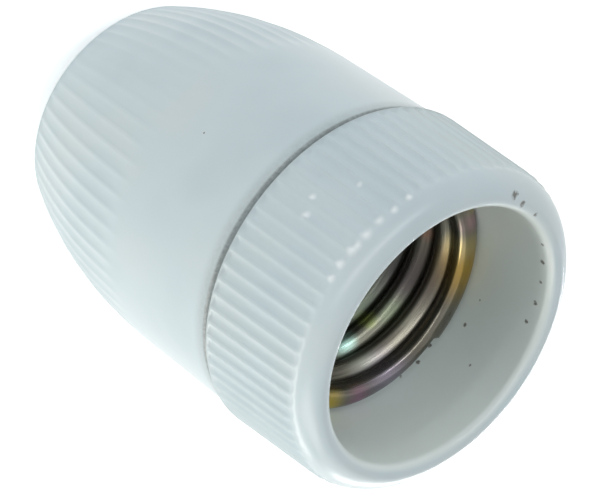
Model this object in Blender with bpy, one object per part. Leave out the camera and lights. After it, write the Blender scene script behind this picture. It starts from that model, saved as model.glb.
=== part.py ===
# Porcelain screw lamp holder: a ribbed cap, a fluted skirt that screws into it, and the contact carrier
# with its rolled metal screw shell clamped between them. The holder stands on the flat cable end of its
# cap with the lamp mouth up. Origin: centre of that flat end. +Z runs along the axis to the mouth.
from math import atan2, cos, hypot, pi, radians, sin, sqrt

import bmesh
import bpy
from mathutils import Matrix, Vector

MM = 0.001
MERGE = 1e-7                        # welds points that a spin leaves doubled
BORE_PHASE = radians(2.3)           # keeps the edges of a bored hole off those of a spun body

# Fits
SEAT_GAP = 0.3 * MM                 # between pieces that rest on or turn in each other
SCREW_GAP = 0.2 * MM                # round screws, blocks and nuts

# Cap, the lower porcelain shell
CAP_H = 45.2 * MM
CAP_WALL = 2.7 * MM                 # behind the thread's groove
CAP_COLLAR_Z = 28.0 * MM            # the body starts to draw in below this height
CAP_BODY_ARC = 60.0 * MM            # radius of the body's long curve
CAP_END_RING = 1.6 * MM             # width of the flat ring that it stands on, round the nut's recess
CAP_TAPER_H = 4.4 * MM              # plain tapered end, up to the foot of the ribs
CAP_TAPER_BREAK = 0.4 * MM          # its edges are broken by this
CAP_EDGE_ROUND = 1.5 * MM
CAP_FLOOR_T = 6.0 * MM
CAP_FOOT_RING = 2.4 * MM            # width of the wire space's floor round the entry washer
CAP_FOOT_ROUND = 1.5 * MM
CAP_SHELF_W = 1.8 * MM              # shelf that the contact carrier sits on
CAP_SHELF_H = 4.0 * MM              # straight wall under that shelf
WIRE_SPACE_H = 18.5 * MM
RIB_COUNT = 60
RIB_DEPTH = 0.25 * MM
RIB_RUNOUT = 5.5 * MM               # length over which a groove fades into the collar

# Cable entry in the cap's floor, for a pipe with an M10 x 1 thread
ENTRY_BORE_R = 4.5 * MM
ENTRY_WALL = 1.7 * MM               # of the bush's shank
ENTRY_SHOULDER_W = 2.4 * MM
ENTRY_BOSS_H = 6.0 * MM
ENTRY_WASHER_T = 0.8 * MM
ENTRY_WASHER_LAP = 0.8 * MM         # shows round the bush's shoulder
ENTRY_NUT_WALL = 1.1 * MM           # at the middle of a flat
ENTRY_NUT_H = 1.7 * MM
ENTRY_RECESS_H = 2.6 * MM           # round sinking in the flat end, for the nut
LOCK_SCREW_R = 1.5 * MM
LOCK_SCREW_OUT = 0.5 * MM           # stands out of the bush
LOCK_SCREW_TIP = 0.6 * MM
LOCK_SLOT_DEPTH = 0.8 * MM

# Skirt, the upper porcelain ring
SKIRT_H = 16.5 * MM                 # from the seam to the mouth
SKIRT_OVERHANG = 0.6 * MM           # at the seam it stands proud of the cap
RIM_WALL = 4.4 * MM                 # at the foot of the rounded rim
SKIRT_EDGE_CHAMFER = 0.5 * MM
RIM_ROUND_H = 3.4 * MM              # height of the rim's outer rounding
RIM_LIP_ROUND = 1.2 * MM            # rounding into the mouth
RIM_LAND = 0.2 * MM                 # width of the rim's highest line
LEDGE_W = 1.6 * MM                  # ledge under the shell's lip
MOUTH_DRAFT = 0.2 * MM              # the mouth narrows by this down to the ledge
LEDGE_DEPTH = 13.2 * MM             # from the mouth down to that ledge
NECK_CLEARANCE = 0.6 * MM           # round the screw shell
NECK_WALL = 2.1 * MM
FLUTE_COUNT = 72
FLUTE_DEPTH = 0.4 * MM
FLUTE_RUNOUT = 1.2 * MM

BORE_SIDES = 36                     # flats round the bores and the contact carrier

# Coarse moulded thread that joins skirt and cap
JOIN_PITCH = 3.0 * MM
JOIN_DEPTH = 1.0 * MM
JOIN_CREST_W = 0.7 * MM
JOIN_ROOT_W = 1.7 * MM
JOIN_START = 1.6 * MM               # height of the thread's start above the neck's end
JOIN_TURNS = 2.7
JOIN_SIDES = 24                     # flats for each turn
JOIN_PHASE = radians(3.1)           # keeps the ridge's edges off those of the bore and the neck

# Contact carrier
CARRIER_H = 7.2 * MM
CARRIER_RIM_H = 1.2 * MM
CARRIER_RIM_W = 1.7 * MM
CARRIER_BOSS_H = 1.0 * MM           # raised island round the centre contact
CARRIER_BOSS_GAP = 0.4 * MM         # between it and the shell's floor
CARRIER_BEVEL = 0.5 * MM
KEY_W = 4.0 * MM                    # two keys on the cap's shelf stop the carrier turning
KEY_H = 2.2 * MM
KEY_DEPTH = 1.2 * MM

# Screw shell, rolled from sheet: E27, 3.62 mm pitch
SHEET_T = 0.4 * MM
SHELL_MAJOR_R = 13.5 * MM           # inside, in the grooves
SHELL_THREAD_DEPTH = 1.3 * MM
SHELL_PITCH = 3.62 * MM
SHELL_LIP_RISE = 0.85 * MM
SHELL_SIDES = 24
SHELL_STEPS = 4                     # rings for each pitch
SHELL_HOLE_WEB = 0.5 * MM           # from the hole in its floor to the screw heads
SHELL_CORNER = 1.0 * MM

# Terminals
BLOCK_LENGTH = 8.0 * MM
BLOCK_WIDTH = 6.0 * MM
BLOCK_H = 7.0 * MM
BLOCK_SINK = 3.4 * MM               # depth of the block's pocket in the carrier
BLOCK_BEVEL = 0.35 * MM
WIRE_HOLE_R = 1.7 * MM
WIRE_HOLE_Z = 2.5 * MM              # centre of the wire hole above the block's foot
CENTRE_SCREW_INSET = 2.4 * MM       # from the edge of the island
SHELL_SCREW_INSET = 1.2 * MM        # from the shell's crests to its screws' heads, over the floor's corner
NUT_FLATS = 4.6 * MM
NUT_H = 2.0 * MM

# Small screws: head radius, head height and shank radius
CLAMP_SCREW = (2.6 * MM, 1.9 * MM, 1.6 * MM)
CENTRE_SCREW = (2.1 * MM, 1.2 * MM, 1.3 * MM)
SHELL_SCREW = (1.9 * MM, 1.2 * MM, 1.1 * MM)
SLOT_W = 0.7 * MM
SPRING_WASHER_T = 0.5 * MM
SPRING_WASHER_R = 1.9 * MM

# Centre contact: a bent strip with a riveted button
STRIP_T = 0.5 * MM
STRIP_W = 4.6 * MM
STRIP_PAD = 4.0 * MM                # flat length round its screw
STRIP_RAMP = 2.4 * MM
STRIP_RISE = 2.2 * MM
STRIP_MARGIN = 0.3 * MM             # level strip round the button
BUTTON_R = 1.6 * MM
BUTTON_H = 1.0 * MM
RIVET_R = 0.8 * MM

# Radii that follow, from the lamp's thread outwards
SHELL_MINOR_R = SHELL_MAJOR_R - SHELL_THREAD_DEPTH
NECK_BORE_R = SHELL_MAJOR_R + SHEET_T + NECK_CLEARANCE
JOIN_ROOT_R = NECK_BORE_R + NECK_WALL
CARRIER_R = JOIN_ROOT_R - SEAT_GAP
CAP_BORE_R = JOIN_ROOT_R + SEAT_GAP
CAP_COLLAR_R = CAP_BORE_R + JOIN_DEPTH + CAP_WALL
SKIRT_EDGE_R = CAP_COLLAR_R + SKIRT_OVERHANG
MOUTH_R = NECK_BORE_R + LEDGE_W + MOUTH_DRAFT
SKIRT_RIM_R = MOUTH_R + RIM_WALL
SHELL_SCREW_R = SHELL_MAJOR_R - SHELL_SCREW_INSET - SHELL_SCREW[0]
SHELL_HOLE_R = SHELL_SCREW_R - SHELL_SCREW[0] - SHELL_HOLE_WEB
CARRIER_BOSS_R = SHELL_HOLE_R - CARRIER_BOSS_GAP
CENTRE_SCREW_X = CENTRE_SCREW_INSET - CARRIER_BOSS_R
PAD_END_X = CENTRE_SCREW_X + STRIP_PAD / 2
LEVEL_X = PAD_END_X + STRIP_RAMP
BUTTON_X = LEVEL_X + STRIP_MARGIN + BUTTON_R
ENTRY_SHANK_R = ENTRY_BORE_R + ENTRY_WALL
ENTRY_BOSS_R = ENTRY_SHANK_R + ENTRY_SHOULDER_W
ENTRY_WASHER_R = ENTRY_BOSS_R + ENTRY_WASHER_LAP
ENTRY_NUT_R = (ENTRY_SHANK_R + ENTRY_NUT_WALL) / cos(pi / 6)
NUT_RECESS_R = ENTRY_NUT_R + SEAT_GAP
CAP_END_R = NUT_RECESS_R + CAP_END_RING
CAP_FOOT_R = ENTRY_WASHER_R + CAP_FOOT_RING

# Heights that follow from the stack
SEAT_Z = CAP_FLOOR_T + WIRE_SPACE_H
CARRIER_Z = SEAT_Z + SEAT_GAP
CARRIER_TOP = CARRIER_Z + CARRIER_H
NECK_Z = CARRIER_TOP + CARRIER_RIM_H + SEAT_GAP
SEAM_Z = CAP_H + SEAT_GAP
MOUTH_Z = SEAM_Z + SKIRT_H
LEDGE_Z = MOUTH_Z - LEDGE_DEPTH
SHELL_FLOOR_Z = CARRIER_TOP + SEAT_GAP + SHEET_T / 2
PAD_Z = CARRIER_TOP + CARRIER_BOSS_H + SEAT_GAP + STRIP_T / 2
BLOCK_Z = CARRIER_Z + BLOCK_SINK - SEAT_GAP - BLOCK_H


def clear_scene():
    for item in list(bpy.data.objects):
        bpy.data.objects.remove(item, do_unlink=True)


def finish_of(name, colour, roughness, metallic=0.0):
    """One Principled material; colour is linear red, green and blue."""
    material = bpy.data.materials.new(name)
    material.use_nodes = True
    shader = material.node_tree.nodes["Principled BSDF"]
    shader.inputs["Base Color"].default_value = (*colour, 1.0)
    shader.inputs["Roughness"].default_value = roughness
    shader.inputs["Metallic"].default_value = metallic
    return material


def add_object(name, bm, material=None):
    """Turns a bmesh into a named object with its normals outwards."""
    bmesh.ops.remove_doubles(bm, verts=bm.verts, dist=MERGE)
    bmesh.ops.recalc_face_normals(bm, faces=bm.faces)
    mesh = bpy.data.meshes.new(name)
    bm.to_mesh(mesh)
    bm.free()
    mesh.shade_smooth()
    mesh.set_sharp_from_angle(angle=radians(32))
    item = bpy.data.objects.new(name, mesh)
    bpy.context.scene.collection.objects.link(item)
    if material:
        mesh.materials.append(material)
    return item


def add_cutter(name, bm):
    """A tool body: the build leaves it out."""
    item = add_object(name, bm)
    item.hide_render = True
    item.display_type = "WIRE"
    return item


def combine(item, tool, operation):
    """One exact Boolean step, kept live on the object."""
    step = item.modifiers.new(tool.name, "BOOLEAN")
    step.operation = operation
    step.solver = "EXACT"
    step.object = tool


def arc(centre, radii, start, end, steps):
    """Points (radius, height) along part of an ellipse, angles in degrees."""
    angles = [radians(start + (end - start) * k / steps) for k in range(steps + 1)]
    return [(centre[0] + radii[0] * cos(a), centre[1] + radii[1] * sin(a)) for a in angles]


def revolve(profile, sides, closed=False):
    """Spins a profile of (radius, height) points: a ring if closed, or else a solid with flat ends."""
    bm = bmesh.new()
    points = [bm.verts.new((r, 0.0, z)) for r, z in profile]
    edges = [bm.edges.new(pair) for pair in zip(points, points[1:])]
    if closed:
        edges.append(bm.edges.new((points[-1], points[0])))
    bmesh.ops.spin(bm, geom=points + edges, cent=(0, 0, 0), axis=(0, 0, 1), angle=2 * pi,
                   steps=sides, use_merge=True)
    if not closed:
        bmesh.ops.holes_fill(bm, edges=[edge for edge in bm.edges if edge.is_boundary])
    return bm


def ring(bm, radius, z, sides, press=0.0, press_at=1):
    """A ring of points; all but each press_at-th point is pressed in by press."""
    points = []
    for k in range(sides):
        r = radius - (press if k % press_at else 0.0)
        turn = 2 * pi * k / sides
        points.append(bm.verts.new((r * cos(turn), r * sin(turn), z)))
    return points


def skin(bm, lower, upper):
    """Faces between two rings, where one may have a whole multiple of the other's points."""
    few = min(len(lower), len(upper))
    for k in range(few):
        side = []
        for points in (lower, upper):
            step = len(points) // few
            side.append([points[(k * step + i) % len(points)] for i in range(step + 1)])
        bm.faces.new(side[0] + side[1][::-1])


def stacked(rings, bm):
    """A closed body through a stack of rings, with flat ends."""
    for lower, upper in zip(rings, rings[1:]):
        skin(bm, lower, upper)
    bm.faces.new(rings[0][::-1])
    bm.faces.new(rings[-1])
    return bm


def block(size, centre, bevel=0.0):
    """A box, with its edges bevelled if asked."""
    bm = bmesh.new()
    bmesh.ops.create_cube(bm, size=1.0, matrix=Matrix.Diagonal((*size, 1.0)))
    if bevel:
        bmesh.ops.bevel(bm, geom=bm.edges[:], offset=bevel, segments=1, affect="EDGES")
    bmesh.ops.translate(bm, vec=centre, verts=bm.verts)
    return bm


def rod(radius, length, centre, axis="Z", sides=16):
    """A round bar, or a hexagon with six sides."""
    bm = bmesh.new()
    bmesh.ops.create_cone(bm, cap_ends=True, segments=sides, radius1=radius, radius2=radius, depth=length)
    phase = pi / 6 if sides == 6 else BORE_PHASE
    bmesh.ops.rotate(bm, verts=bm.verts, matrix=Matrix.Rotation(phase, 3, "Z"))
    if axis == "X":
        bmesh.ops.rotate(bm, verts=bm.verts, matrix=Matrix.Rotation(pi / 2, 3, "Y"))
    bmesh.ops.translate(bm, vec=centre, verts=bm.verts)
    return bm


def helical_ridge(root_r, crest_r, root_w, crest_w, start_z, turns, taper):
    """A thread's ridge as a body of its own: a trapezium swept up a right-hand helix.
    With taper its ends sink into the root over a sixth of a turn."""
    bm = bmesh.new()
    count = round(turns * JOIN_SIDES)
    fade = JOIN_SIDES // 6
    stations = []
    for k in range(count + 1):
        turn = 2 * pi * k / JOIN_SIDES + JOIN_PHASE
        z = start_z + JOIN_PITCH * k / JOIN_SIDES
        grow = min(1.0, (k + 0.2) / fade, (count - k + 0.2) / fade) if taper else 1.0
        top = root_r + (crest_r - root_r) * grow
        half = crest_w / 2 + (root_w - crest_w) / 2 * (1.0 - grow)
        corners = [(root_r, -root_w / 2), (top, -half), (top, half), (root_r, root_w / 2)]
        stations.append([bm.verts.new((r * cos(turn), r * sin(turn), z + dz)) for r, dz in corners])
    for low, high in zip(stations, stations[1:]):
        for i in range(4):
            bm.faces.new((low[i], low[(i + 1) % 4], high[(i + 1) % 4], high[i]))
    bm.faces.new(stations[0])
    bm.faces.new(stations[-1][::-1])
    return bm


def cap_radius(z):
    """Outside of the cap above its tapered end: straight collar, then one long arc inwards."""
    drop = max(0.0, CAP_COLLAR_Z - z)
    return CAP_COLLAR_R - CAP_BODY_ARC + sqrt(CAP_BODY_ARC ** 2 - drop ** 2)


def cap_blank():
    """The cap's outside: tapered end, ribbed body, plain collar with a rounded edge."""
    bm = bmesh.new()
    fine = 3 * RIB_COUNT
    taper_w = cap_radius(CAP_TAPER_H) - CAP_END_R
    cut = CAP_TAPER_BREAK / hypot(taper_w, CAP_TAPER_H)
    rings = [ring(bm, CAP_END_R - CAP_TAPER_BREAK, 0, RIB_COUNT)]
    for share in (cut, 1 - cut):
        rings.append(ring(bm, CAP_END_R + taper_w * share, CAP_TAPER_H * share, RIB_COUNT))
    full_start = CAP_TAPER_H + CAP_TAPER_BREAK
    full_end = CAP_COLLAR_Z - RIB_RUNOUT
    for k in range(4):
        z = full_start + (full_end - full_start) * k / 3
        rings.append(ring(bm, cap_radius(z), z, fine, RIB_DEPTH, 3))
    z = full_end + RIB_RUNOUT * 0.7
    rings.append(ring(bm, cap_radius(z), z, fine, RIB_DEPTH * 0.4, 3))
    rings.append(ring(bm, cap_radius(CAP_COLLAR_Z), CAP_COLLAR_Z + RIB_RUNOUT * 0.1, RIB_COUNT))
    edge = arc((CAP_COLLAR_R - CAP_EDGE_ROUND, CAP_H - CAP_EDGE_ROUND), (CAP_EDGE_ROUND, CAP_EDGE_ROUND), 0, 90, 2)
    rings += [ring(bm, r, z, RIB_COUNT) for r, z in edge]
    return stacked(rings, bm)


def cap_hollow():
    """What is bored out of the cap: nut recess, entry hole, wire space, carrier seat and thread bore."""
    entry_r = ENTRY_SHANK_R + SEAT_GAP
    shelf_r = CARRIER_R + SEAT_GAP - CAP_SHELF_W
    chamfer = JOIN_DEPTH + SEAT_GAP
    over = CAP_H + 2 * MM
    return revolve([(NUT_RECESS_R, -over), (NUT_RECESS_R, ENTRY_RECESS_H), (entry_r, ENTRY_RECESS_H),
                    (entry_r, CAP_FLOOR_T), (CAP_FOOT_R - CAP_FOOT_ROUND, CAP_FLOOR_T),
                    (CAP_FOOT_R, CAP_FLOOR_T + CAP_FOOT_ROUND), (shelf_r, SEAT_Z - CAP_SHELF_H),
                    (shelf_r, SEAT_Z), (CARRIER_R + SEAT_GAP, SEAT_Z),
                    (CARRIER_R + SEAT_GAP, CARRIER_TOP), (CAP_BORE_R, CARRIER_TOP + SEAT_GAP),
                    (CAP_BORE_R, CAP_H - chamfer), (CAP_BORE_R + chamfer, CAP_H),
                    (CAP_BORE_R + chamfer, over)], BORE_SIDES)


def make_cap(porcelain):
    cap = add_object("cap", cap_blank(), porcelain)
    hollow = add_cutter("cap_hollow", cap_hollow())
    for k, turn in enumerate((pi / 2, -pi / 2)):
        key = block((KEY_DEPTH + CAP_SHELF_W, KEY_W, KEY_H + 2 * MM),
                    (CARRIER_R + SEAT_GAP + (CAP_SHELF_W - KEY_DEPTH) / 2, 0, SEAT_Z + KEY_H / 2 - 1 * MM))
        bmesh.ops.rotate(key, verts=key.verts, matrix=Matrix.Rotation(turn, 3, "Z"))
        combine(hollow, add_cutter(f"cap_key_{k + 1}", key), "DIFFERENCE")
    combine(cap, hollow, "DIFFERENCE")
    groove = helical_ridge(CAP_BORE_R - 0.6 * MM, CAP_BORE_R + JOIN_DEPTH, JOIN_ROOT_W + 3 * SEAT_GAP,
                           JOIN_CREST_W + 2 * SEAT_GAP, NECK_Z + JOIN_START - JOIN_PITCH / 4,
                           (CAP_H - NECK_Z - JOIN_START) / JOIN_PITCH + 0.75, False)
    bmesh.ops.rotate(groove, verts=groove.verts, matrix=Matrix.Rotation(-pi / 2, 3, "Z"))
    combine(cap, add_cutter("cap_thread", groove), "DIFFERENCE")
    return cap


def skirt_blank():
    """The skirt's outside: neck, fluted band that opens a little to the seam, full round rim."""
    bm = bmesh.new()
    fine = 3 * FLUTE_COUNT
    rim_foot = MOUTH_Z - RIM_ROUND_H
    flute_end = rim_foot + RIM_ROUND_H * 0.3
    slope = (SKIRT_EDGE_R - SKIRT_RIM_R) / (rim_foot - SEAM_Z)
    rings = [ring(bm, JOIN_ROOT_R, NECK_Z, JOIN_SIDES), ring(bm, JOIN_ROOT_R, SEAM_Z, JOIN_SIDES)]
    rings.append(ring(bm, SKIRT_EDGE_R - SKIRT_EDGE_CHAMFER, SEAM_Z, fine, FLUTE_DEPTH * 0.7, 3))
    for z in (SEAM_Z + SKIRT_EDGE_CHAMFER, rim_foot + FLUTE_RUNOUT * 0.1):
        rings.append(ring(bm, SKIRT_EDGE_R - slope * (z - SEAM_Z), z, fine, FLUTE_DEPTH, 3))
    crest_r = MOUTH_R + RIM_LIP_ROUND + RIM_LAND
    rounding = arc((crest_r, rim_foot), (SKIRT_RIM_R - crest_r, RIM_ROUND_H), 0, 90, 5)
    rings += [ring(bm, r, z, FLUTE_COUNT) for r, z in rounding if z >= flute_end - 0.2 * MM]
    return stacked(rings, bm)


def skirt_bore():
    """Mouth, ledge for the shell's lip and the narrower bore through the neck."""
    lip = arc((MOUTH_R + RIM_LIP_ROUND, MOUTH_Z - RIM_LIP_ROUND), (RIM_LIP_ROUND, RIM_LIP_ROUND), 180, 90, 3)
    over = MOUTH_Z + 2 * MM
    under = NECK_Z - 2 * MM
    return revolve([(NECK_BORE_R, under), (NECK_BORE_R, LEDGE_Z), (MOUTH_R - MOUTH_DRAFT, LEDGE_Z)]
                   + lip + [(MOUTH_R + RIM_LIP_ROUND, over)], BORE_SIDES)


def make_skirt(porcelain):
    skirt = add_object("skirt", skirt_blank(), porcelain)
    ridge = helical_ridge(JOIN_ROOT_R - 0.4 * MM, JOIN_ROOT_R + JOIN_DEPTH, JOIN_ROOT_W, JOIN_CREST_W,
                          NECK_Z + JOIN_START, JOIN_TURNS, True)
    combine(skirt, add_cutter("skirt_thread", ridge), "UNION")
    combine(skirt, add_cutter("skirt_bore", skirt_bore()), "DIFFERENCE")
    return skirt


def shell_profile():
    """Middle of the sheet, from the lip's outer edge down to the hole in the floor."""
    lip_z = LEDGE_Z + SEAT_GAP + SHEET_T / 2 + 0.05 * MM
    lip_r = MOUTH_R - MOUTH_DRAFT - SEAT_GAP
    mean_r = (SHELL_MINOR_R + SHELL_MAJOR_R + SHEET_T) / 2
    middle = (lip_r + mean_r) / 2
    curl = arc((middle, lip_z), ((lip_r - mean_r) / 2, SHELL_LIP_RISE), 0, 150, 5)
    thread_top = lip_z - SHELL_PITCH / SHELL_STEPS
    floor_r = mean_r - SHELL_CORNER
    thread_foot = SHELL_FLOOR_Z + SHELL_CORNER
    rows = round((thread_top - thread_foot) * SHELL_STEPS / SHELL_PITCH)
    tube = [(mean_r, thread_top + (thread_foot - thread_top) * k / rows) for k in range(rows + 1)]
    corner = arc((floor_r, thread_foot), (SHELL_CORNER, SHELL_CORNER), 0, -90, 2)
    return curl + tube + corner[1:] + [(SHELL_HOLE_R, SHELL_FLOOR_Z)], thread_top, thread_foot


def make_shell(steel):
    """A sheet that is spun, then pressed into its round thread, then given its thickness."""
    profile, top, foot = shell_profile()
    bm = bmesh.new()
    points = [bm.verts.new((r, 0.0, z)) for r, z in profile]
    edges = [bm.edges.new(pair) for pair in zip(points, points[1:])]
    bmesh.ops.spin(bm, geom=points + edges, cent=(0, 0, 0), axis=(0, 0, 1), angle=2 * pi,
                   steps=SHELL_SIDES, use_merge=True)
    swing = (SHELL_MAJOR_R - SHELL_MINOR_R) / 2
    for vert in bm.verts:
        x, y, z = vert.co
        depth = min(1.0, max(0.0, (top - z) / SHELL_PITCH * 2), max(0.0, (z - foot) / SHELL_PITCH * 2))
        if depth > 0.0:
            radius = sqrt(x * x + y * y)
            wave = swing * depth * sin(2 * pi * (z - foot) / SHELL_PITCH - atan2(y, x))
            vert.co = Vector((x * (radius + wave) / radius, y * (radius + wave) / radius, z))
    shell = add_object("screw_shell", bm, steel)
    sheet = shell.modifiers.new("sheet", "SOLIDIFY")
    sheet.thickness = SHEET_T
    sheet.offset = 0.0
    for k, turn in enumerate((pi / 2, -pi / 2)):
        hole = rod(SHELL_SCREW[2] + SCREW_GAP, 6 * SHEET_T,
                   (SHELL_SCREW_R * cos(turn), SHELL_SCREW_R * sin(turn), SHELL_FLOOR_Z), sides=12)
        combine(shell, add_cutter(f"shell_hole_{k + 1}", hole), "DIFFERENCE")
    return shell


def carrier_blank():
    """Round steatite disc with a raised rim and a raised island."""
    rim_top = CARRIER_TOP + CARRIER_RIM_H
    island = CARRIER_TOP + CARRIER_BOSS_H
    return revolve([(CARRIER_R - CARRIER_BEVEL, CARRIER_Z), (CARRIER_R, CARRIER_Z + CARRIER_BEVEL),
                    (CARRIER_R, rim_top), (CARRIER_R - CARRIER_RIM_W, rim_top),
                    (CARRIER_R - CARRIER_RIM_W, CARRIER_TOP), (CARRIER_BOSS_R, CARRIER_TOP),
                    (CARRIER_BOSS_R, island)], BORE_SIDES)


def block_centres():
    """Where the two terminal blocks stand, in plan."""
    return {"centre": (CENTRE_SCREW_X, 0.0), "side": (0.0, SHELL_SCREW_R)}


def make_carrier(steatite):
    carrier = add_object("contact_carrier", carrier_blank(), steatite)
    pocket_z = CARRIER_Z + BLOCK_SINK / 2
    for label, (x, y) in block_centres().items():
        pocket = block((BLOCK_LENGTH + 2 * SCREW_GAP, BLOCK_WIDTH + 2 * SCREW_GAP, BLOCK_SINK), (x, y, pocket_z))
        bmesh.ops.scale(pocket, vec=(1, 1, 2), space=Matrix.Translation((0, 0, -CARRIER_Z - BLOCK_SINK)),
                        verts=pocket.verts)
        combine(carrier, add_cutter(f"pocket_{label}", pocket), "DIFFERENCE")
    nut_pocket = rod(NUT_FLATS / 2 / cos(pi / 6) + SCREW_GAP, 2 * (NUT_H + SCREW_GAP),
                     (0, -SHELL_SCREW_R, CARRIER_Z), sides=6)
    combine(carrier, add_cutter("pocket_nut", nut_pocket), "DIFFERENCE")
    screws = (("centre", CENTRE_SCREW_X, 0.0, CENTRE_SCREW), ("side", 0.0, SHELL_SCREW_R, SHELL_SCREW),
              ("plain", 0.0, -SHELL_SCREW_R, SHELL_SCREW))
    for label, x, y, size in screws:
        hole = rod(size[2] + SCREW_GAP, 4 * CARRIER_H, (x, y, CARRIER_TOP), sides=12)
        combine(carrier, add_cutter(f"carrier_hole_{label}", hole), "DIFFERENCE")
    for k, turn in enumerate((pi / 2, -pi / 2)):
        notch = block((2 * (KEY_DEPTH + SEAT_GAP), KEY_W + 2 * SEAT_GAP, 2 * (KEY_H + SEAT_GAP)),
                      (CARRIER_R + SEAT_GAP, 0, CARRIER_Z))
        bmesh.ops.rotate(notch, verts=notch.verts, matrix=Matrix.Rotation(turn, 3, "Z"))
        combine(carrier, add_cutter(f"carrier_notch_{k + 1}", notch), "DIFFERENCE")
    return carrier


def make_screw(name, size, length, place, material, head_down=False, tip=0.3 * MM):
    """Cheese-head screw with a slot. Its origin is under the head; the shank runs down, or up if head_down."""
    head_r, head_h, shank_r = size
    bm = revolve([(shank_r - tip, -length), (shank_r, tip - length), (shank_r, 0.0),
                  (head_r, 0.0), (head_r, head_h * 0.75), (head_r * 0.8, head_h)], 14)
    screw = add_object(name, bm, material)
    slot = add_cutter(f"{name}_slot", block((3 * head_r, SLOT_W, head_h), (0, 0, head_h)))
    combine(screw, slot, "DIFFERENCE")
    for item in (screw, slot):
        item.location = place
        item.rotation_euler = (pi if head_down else 0.0, 0.0, 0.0)
    return screw


def make_terminals(brass, steel):
    """Two brass blocks under the carrier, each with a wire hole and a clamp screw from below."""
    for label, (x, y) in block_centres().items():
        size = (BLOCK_LENGTH, BLOCK_WIDTH, BLOCK_H)
        body = add_object(f"terminal_block_{label}", block(size, (x, y, BLOCK_Z + BLOCK_H / 2), BLOCK_BEVEL), brass)
        wire = rod(WIRE_HOLE_R, 2 * BLOCK_LENGTH, (x, y, BLOCK_Z + WIRE_HOLE_Z), "X", 12)
        combine(body, add_cutter(f"wire_hole_{label}", wire), "DIFFERENCE")
        top_size = CENTRE_SCREW if label == "centre" else SHELL_SCREW
        above = rod(top_size[2] + SCREW_GAP, BLOCK_H, (x, y, BLOCK_Z + WIRE_HOLE_Z + BLOCK_H / 2), sides=12)
        combine(body, add_cutter(f"block_top_{label}", above), "DIFFERENCE")
        below = rod(CLAMP_SCREW[2] + SCREW_GAP, 2 * WIRE_HOLE_Z, (x, y, BLOCK_Z), sides=14)
        combine(body, add_cutter(f"block_foot_{label}", below), "DIFFERENCE")
        place = (x, y, BLOCK_Z - SCREW_GAP)
        make_screw(f"clamp_screw_{label}", CLAMP_SCREW, WIRE_HOLE_Z + WIRE_HOLE_R * 0.6, place, steel, True)


def spring_washer(name, place, material):
    """Split ring under a screw head."""
    inner = SHELL_SCREW[2] + SCREW_GAP
    half = SPRING_WASHER_T / 2
    bm = revolve([(inner, -half), (SPRING_WASHER_R, -half), (SPRING_WASHER_R, half), (inner, half)], 16, True)
    washer = add_object(name, bm, material)
    gap = block((SPRING_WASHER_R, SLOT_W / 2, 2 * SPRING_WASHER_T), (SPRING_WASHER_R, 0, 0))
    split = add_cutter(f"{name}_split", gap)
    combine(washer, split, "DIFFERENCE")
    washer.location = place
    split.location = place


def make_shell_fasteners(steel):
    """Two screws, with spring washers, hold the shell's floor to the carrier."""
    washer_z = SHELL_FLOOR_Z + SHEET_T / 2 + SCREW_GAP + SPRING_WASHER_T / 2
    head_z = washer_z + SPRING_WASHER_T / 2 + SCREW_GAP
    block_reach = head_z - (BLOCK_Z + WIRE_HOLE_Z + WIRE_HOLE_R + 0.6 * MM)
    nut_reach = head_z - CARRIER_Z
    for label, sign, reach in (("side", 1, block_reach), ("plain", -1, nut_reach)):
        y = sign * SHELL_SCREW_R
        make_screw(f"shell_screw_{label}", SHELL_SCREW, reach, (0, y, head_z), steel)
        spring_washer(f"spring_washer_{label}", (0, y, washer_z), steel)
    nut = add_object("shell_nut", rod(NUT_FLATS / 2 / cos(pi / 6), NUT_H,
                                      (0, -SHELL_SCREW_R, CARRIER_Z + NUT_H / 2 - SCREW_GAP / 2), sides=6), steel)
    bore = rod(SHELL_SCREW[2] + SCREW_GAP, 3 * NUT_H, (0, -SHELL_SCREW_R, CARRIER_Z), sides=12)
    combine(nut, add_cutter("shell_nut_bore", bore), "DIFFERENCE")


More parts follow.
